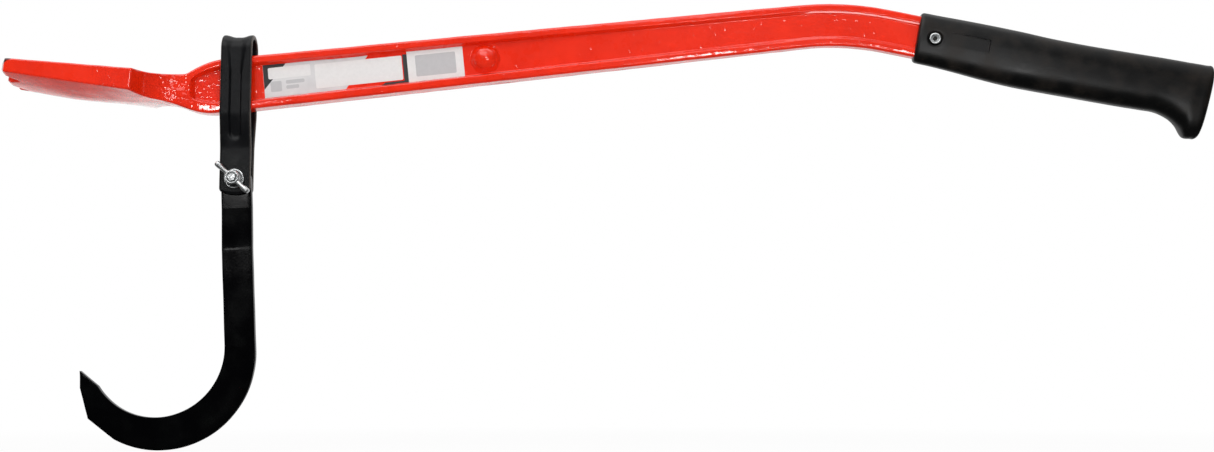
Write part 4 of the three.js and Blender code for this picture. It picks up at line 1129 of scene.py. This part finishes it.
def makeFloor():
    half, z = studio["floorHalf"], -studio["floorDrop"]
    mesh = newMesh("paleFloor", [(-half, -half, z), (half, -half, z), (half, half, z), (-half, half, z)],
                   [(0, 1, 2, 3)])
    floor = newObject("paleFloor", mesh)
    # Matt floor paint, rolled: white to the eye, because the light on it is topped up, and all white far from
    # the object; gloss sees a white floor behind the tool and a dim one in front of it.
    material, tree, shader, place = startMaterial("paleFloorPaint", {
        "Base Color": colour(studio["floorColour"]), "Roughness": studio["floorRoughness"],
    })
    rays = addNode(tree, "ShaderNodeLightPath")
    away = addNode(tree, "ShaderNodeVectorMath", {0: place}, operation="LENGTH")
    behind = addNode(tree, "ShaderNodeSeparateXYZ", {"Vector": place})
    toEye, toGloss = [addNode(tree, "ShaderNodeMapRange", {
        "Value": value, "From Min": near, "From Max": far, "To Min": low, "To Max": 1.0,
    }, interpolation_type="SMOOTHSTEP") for value, (near, far), low in (
        (away.outputs["Value"], studio["whiteRun"], studio["floorWhite"]),
        (behind.outputs["Y"], studio["glossRun"], studio["floorGloss"]))]
    seen = addNode(tree, "ShaderNodeMath", {
        0: rays.outputs["Is Camera Ray"], 1: rays.outputs["Is Transmission Ray"],
    }, operation="MAXIMUM")
    share = addNode(tree, "ShaderNodeMath", {
        0: seen.outputs[0], 1: toEye.outputs["Result"], 2: rays.outputs["Is Glossy Ray"],
    }, operation="MULTIPLY_ADD")
    glow = addNode(tree, "ShaderNodeMix", {
        "Factor": rays.outputs["Is Glossy Ray"], "A": 1.0, "B": toGloss.outputs["Result"],
    })
    white = addNode(tree, "ShaderNodeEmission", {"Color": (1, 1, 1, 1), "Strength": glow.outputs["Result"]})
    mixed = addNode(tree, "ShaderNodeMixShader", {
        0: share.outputs[0], 1: shader.outputs[0], 2: white.outputs[0],
    })
    tree.links.new(mixed.outputs[0], tree.nodes["Material Output"].inputs["Surface"])
    mesh.materials.append(material)


def makeWorld():
    # the eye sees white all round; gloss sees a room that is white overhead and behind, and dimmer in front
    world = bpy.data.worlds.new("whiteRoom")
    bpy.context.scene.world = world
    world.use_nodes = True
    tree = world.node_tree
    rays = addNode(tree, "ShaderNodeLightPath")
    seen = addNode(tree, "ShaderNodeMath", {
        0: rays.outputs["Is Camera Ray"], 1: rays.outputs["Is Transmission Ray"],
    }, operation="MAXIMUM")
    place = addNode(tree, "ShaderNodeTexCoord").outputs["Generated"]
    toward = addNode(tree, "ShaderNodeSeparateXYZ", {"Vector": place})
    overhead, behind = [addNode(tree, "ShaderNodeMapRange", {
        "Value": toward.outputs[axis], "From Min": near, "From Max": far,
        "To Min": studio["eyeLevel"], "To Max": 1.0,
    }, interpolation_type="SMOOTHSTEP").outputs["Result"] for axis, (near, far) in (
        ("Z", studio["whiteAbove"]), ("Y", studio["whiteBehind"]))]
    room = addNode(tree, "ShaderNodeMath", {0: overhead, 1: behind}, operation="MAXIMUM")
    lit = addNode(tree, "ShaderNodeMix", {
        "Factor": rays.outputs["Is Glossy Ray"], "A": studio["ambient"], "B": room.outputs[0],
    })
    strength = addNode(tree, "ShaderNodeMix", {"Factor": seen.outputs[0], "A": lit.outputs["Result"], "B": 1.0})
    tree.nodes["Background"].inputs["Color"].default_value = (1, 1, 1, 1)
    tree.links.new(strength.outputs["Result"], tree.nodes["Background"].inputs["Strength"])


def softLight(name, place, aim, size, power):
    lamp = bpy.data.lights.new(name, "AREA")
    lamp.shape = "RECTANGLE"
    lamp.size, lamp.size_y = size
    lamp.energy = power
    holder = newObject(name, lamp)
    holder.location = place
    holder.rotation_euler = (Vector(aim) - Vector(place)).to_track_quat("-Z", "Y").to_euler()


def makeCamera():
    lens = bpy.data.cameras.new("camera")
    lens.sensor_width = studio["sensor"]
    lens.sensor_fit = "HORIZONTAL"
    lens.lens = studio["focal"] * studio["sensor"]
    viewer = newObject("camera", lens)
    viewer.location = [v * mm for v in studio["cameraPlace"]]
    viewer.rotation_euler = ((90 + studio["cameraTilt"]) * degree, 0, 0)
    bpy.context.scene.camera = viewer


makeFloor()
makeWorld()
for name, lamp in studio["lamps"].items():
    softLight(name, *lamp)
makeCamera()
bpy.context.scene.view_settings.view_transform = "Standard"
print("stage: floor, light and camera")
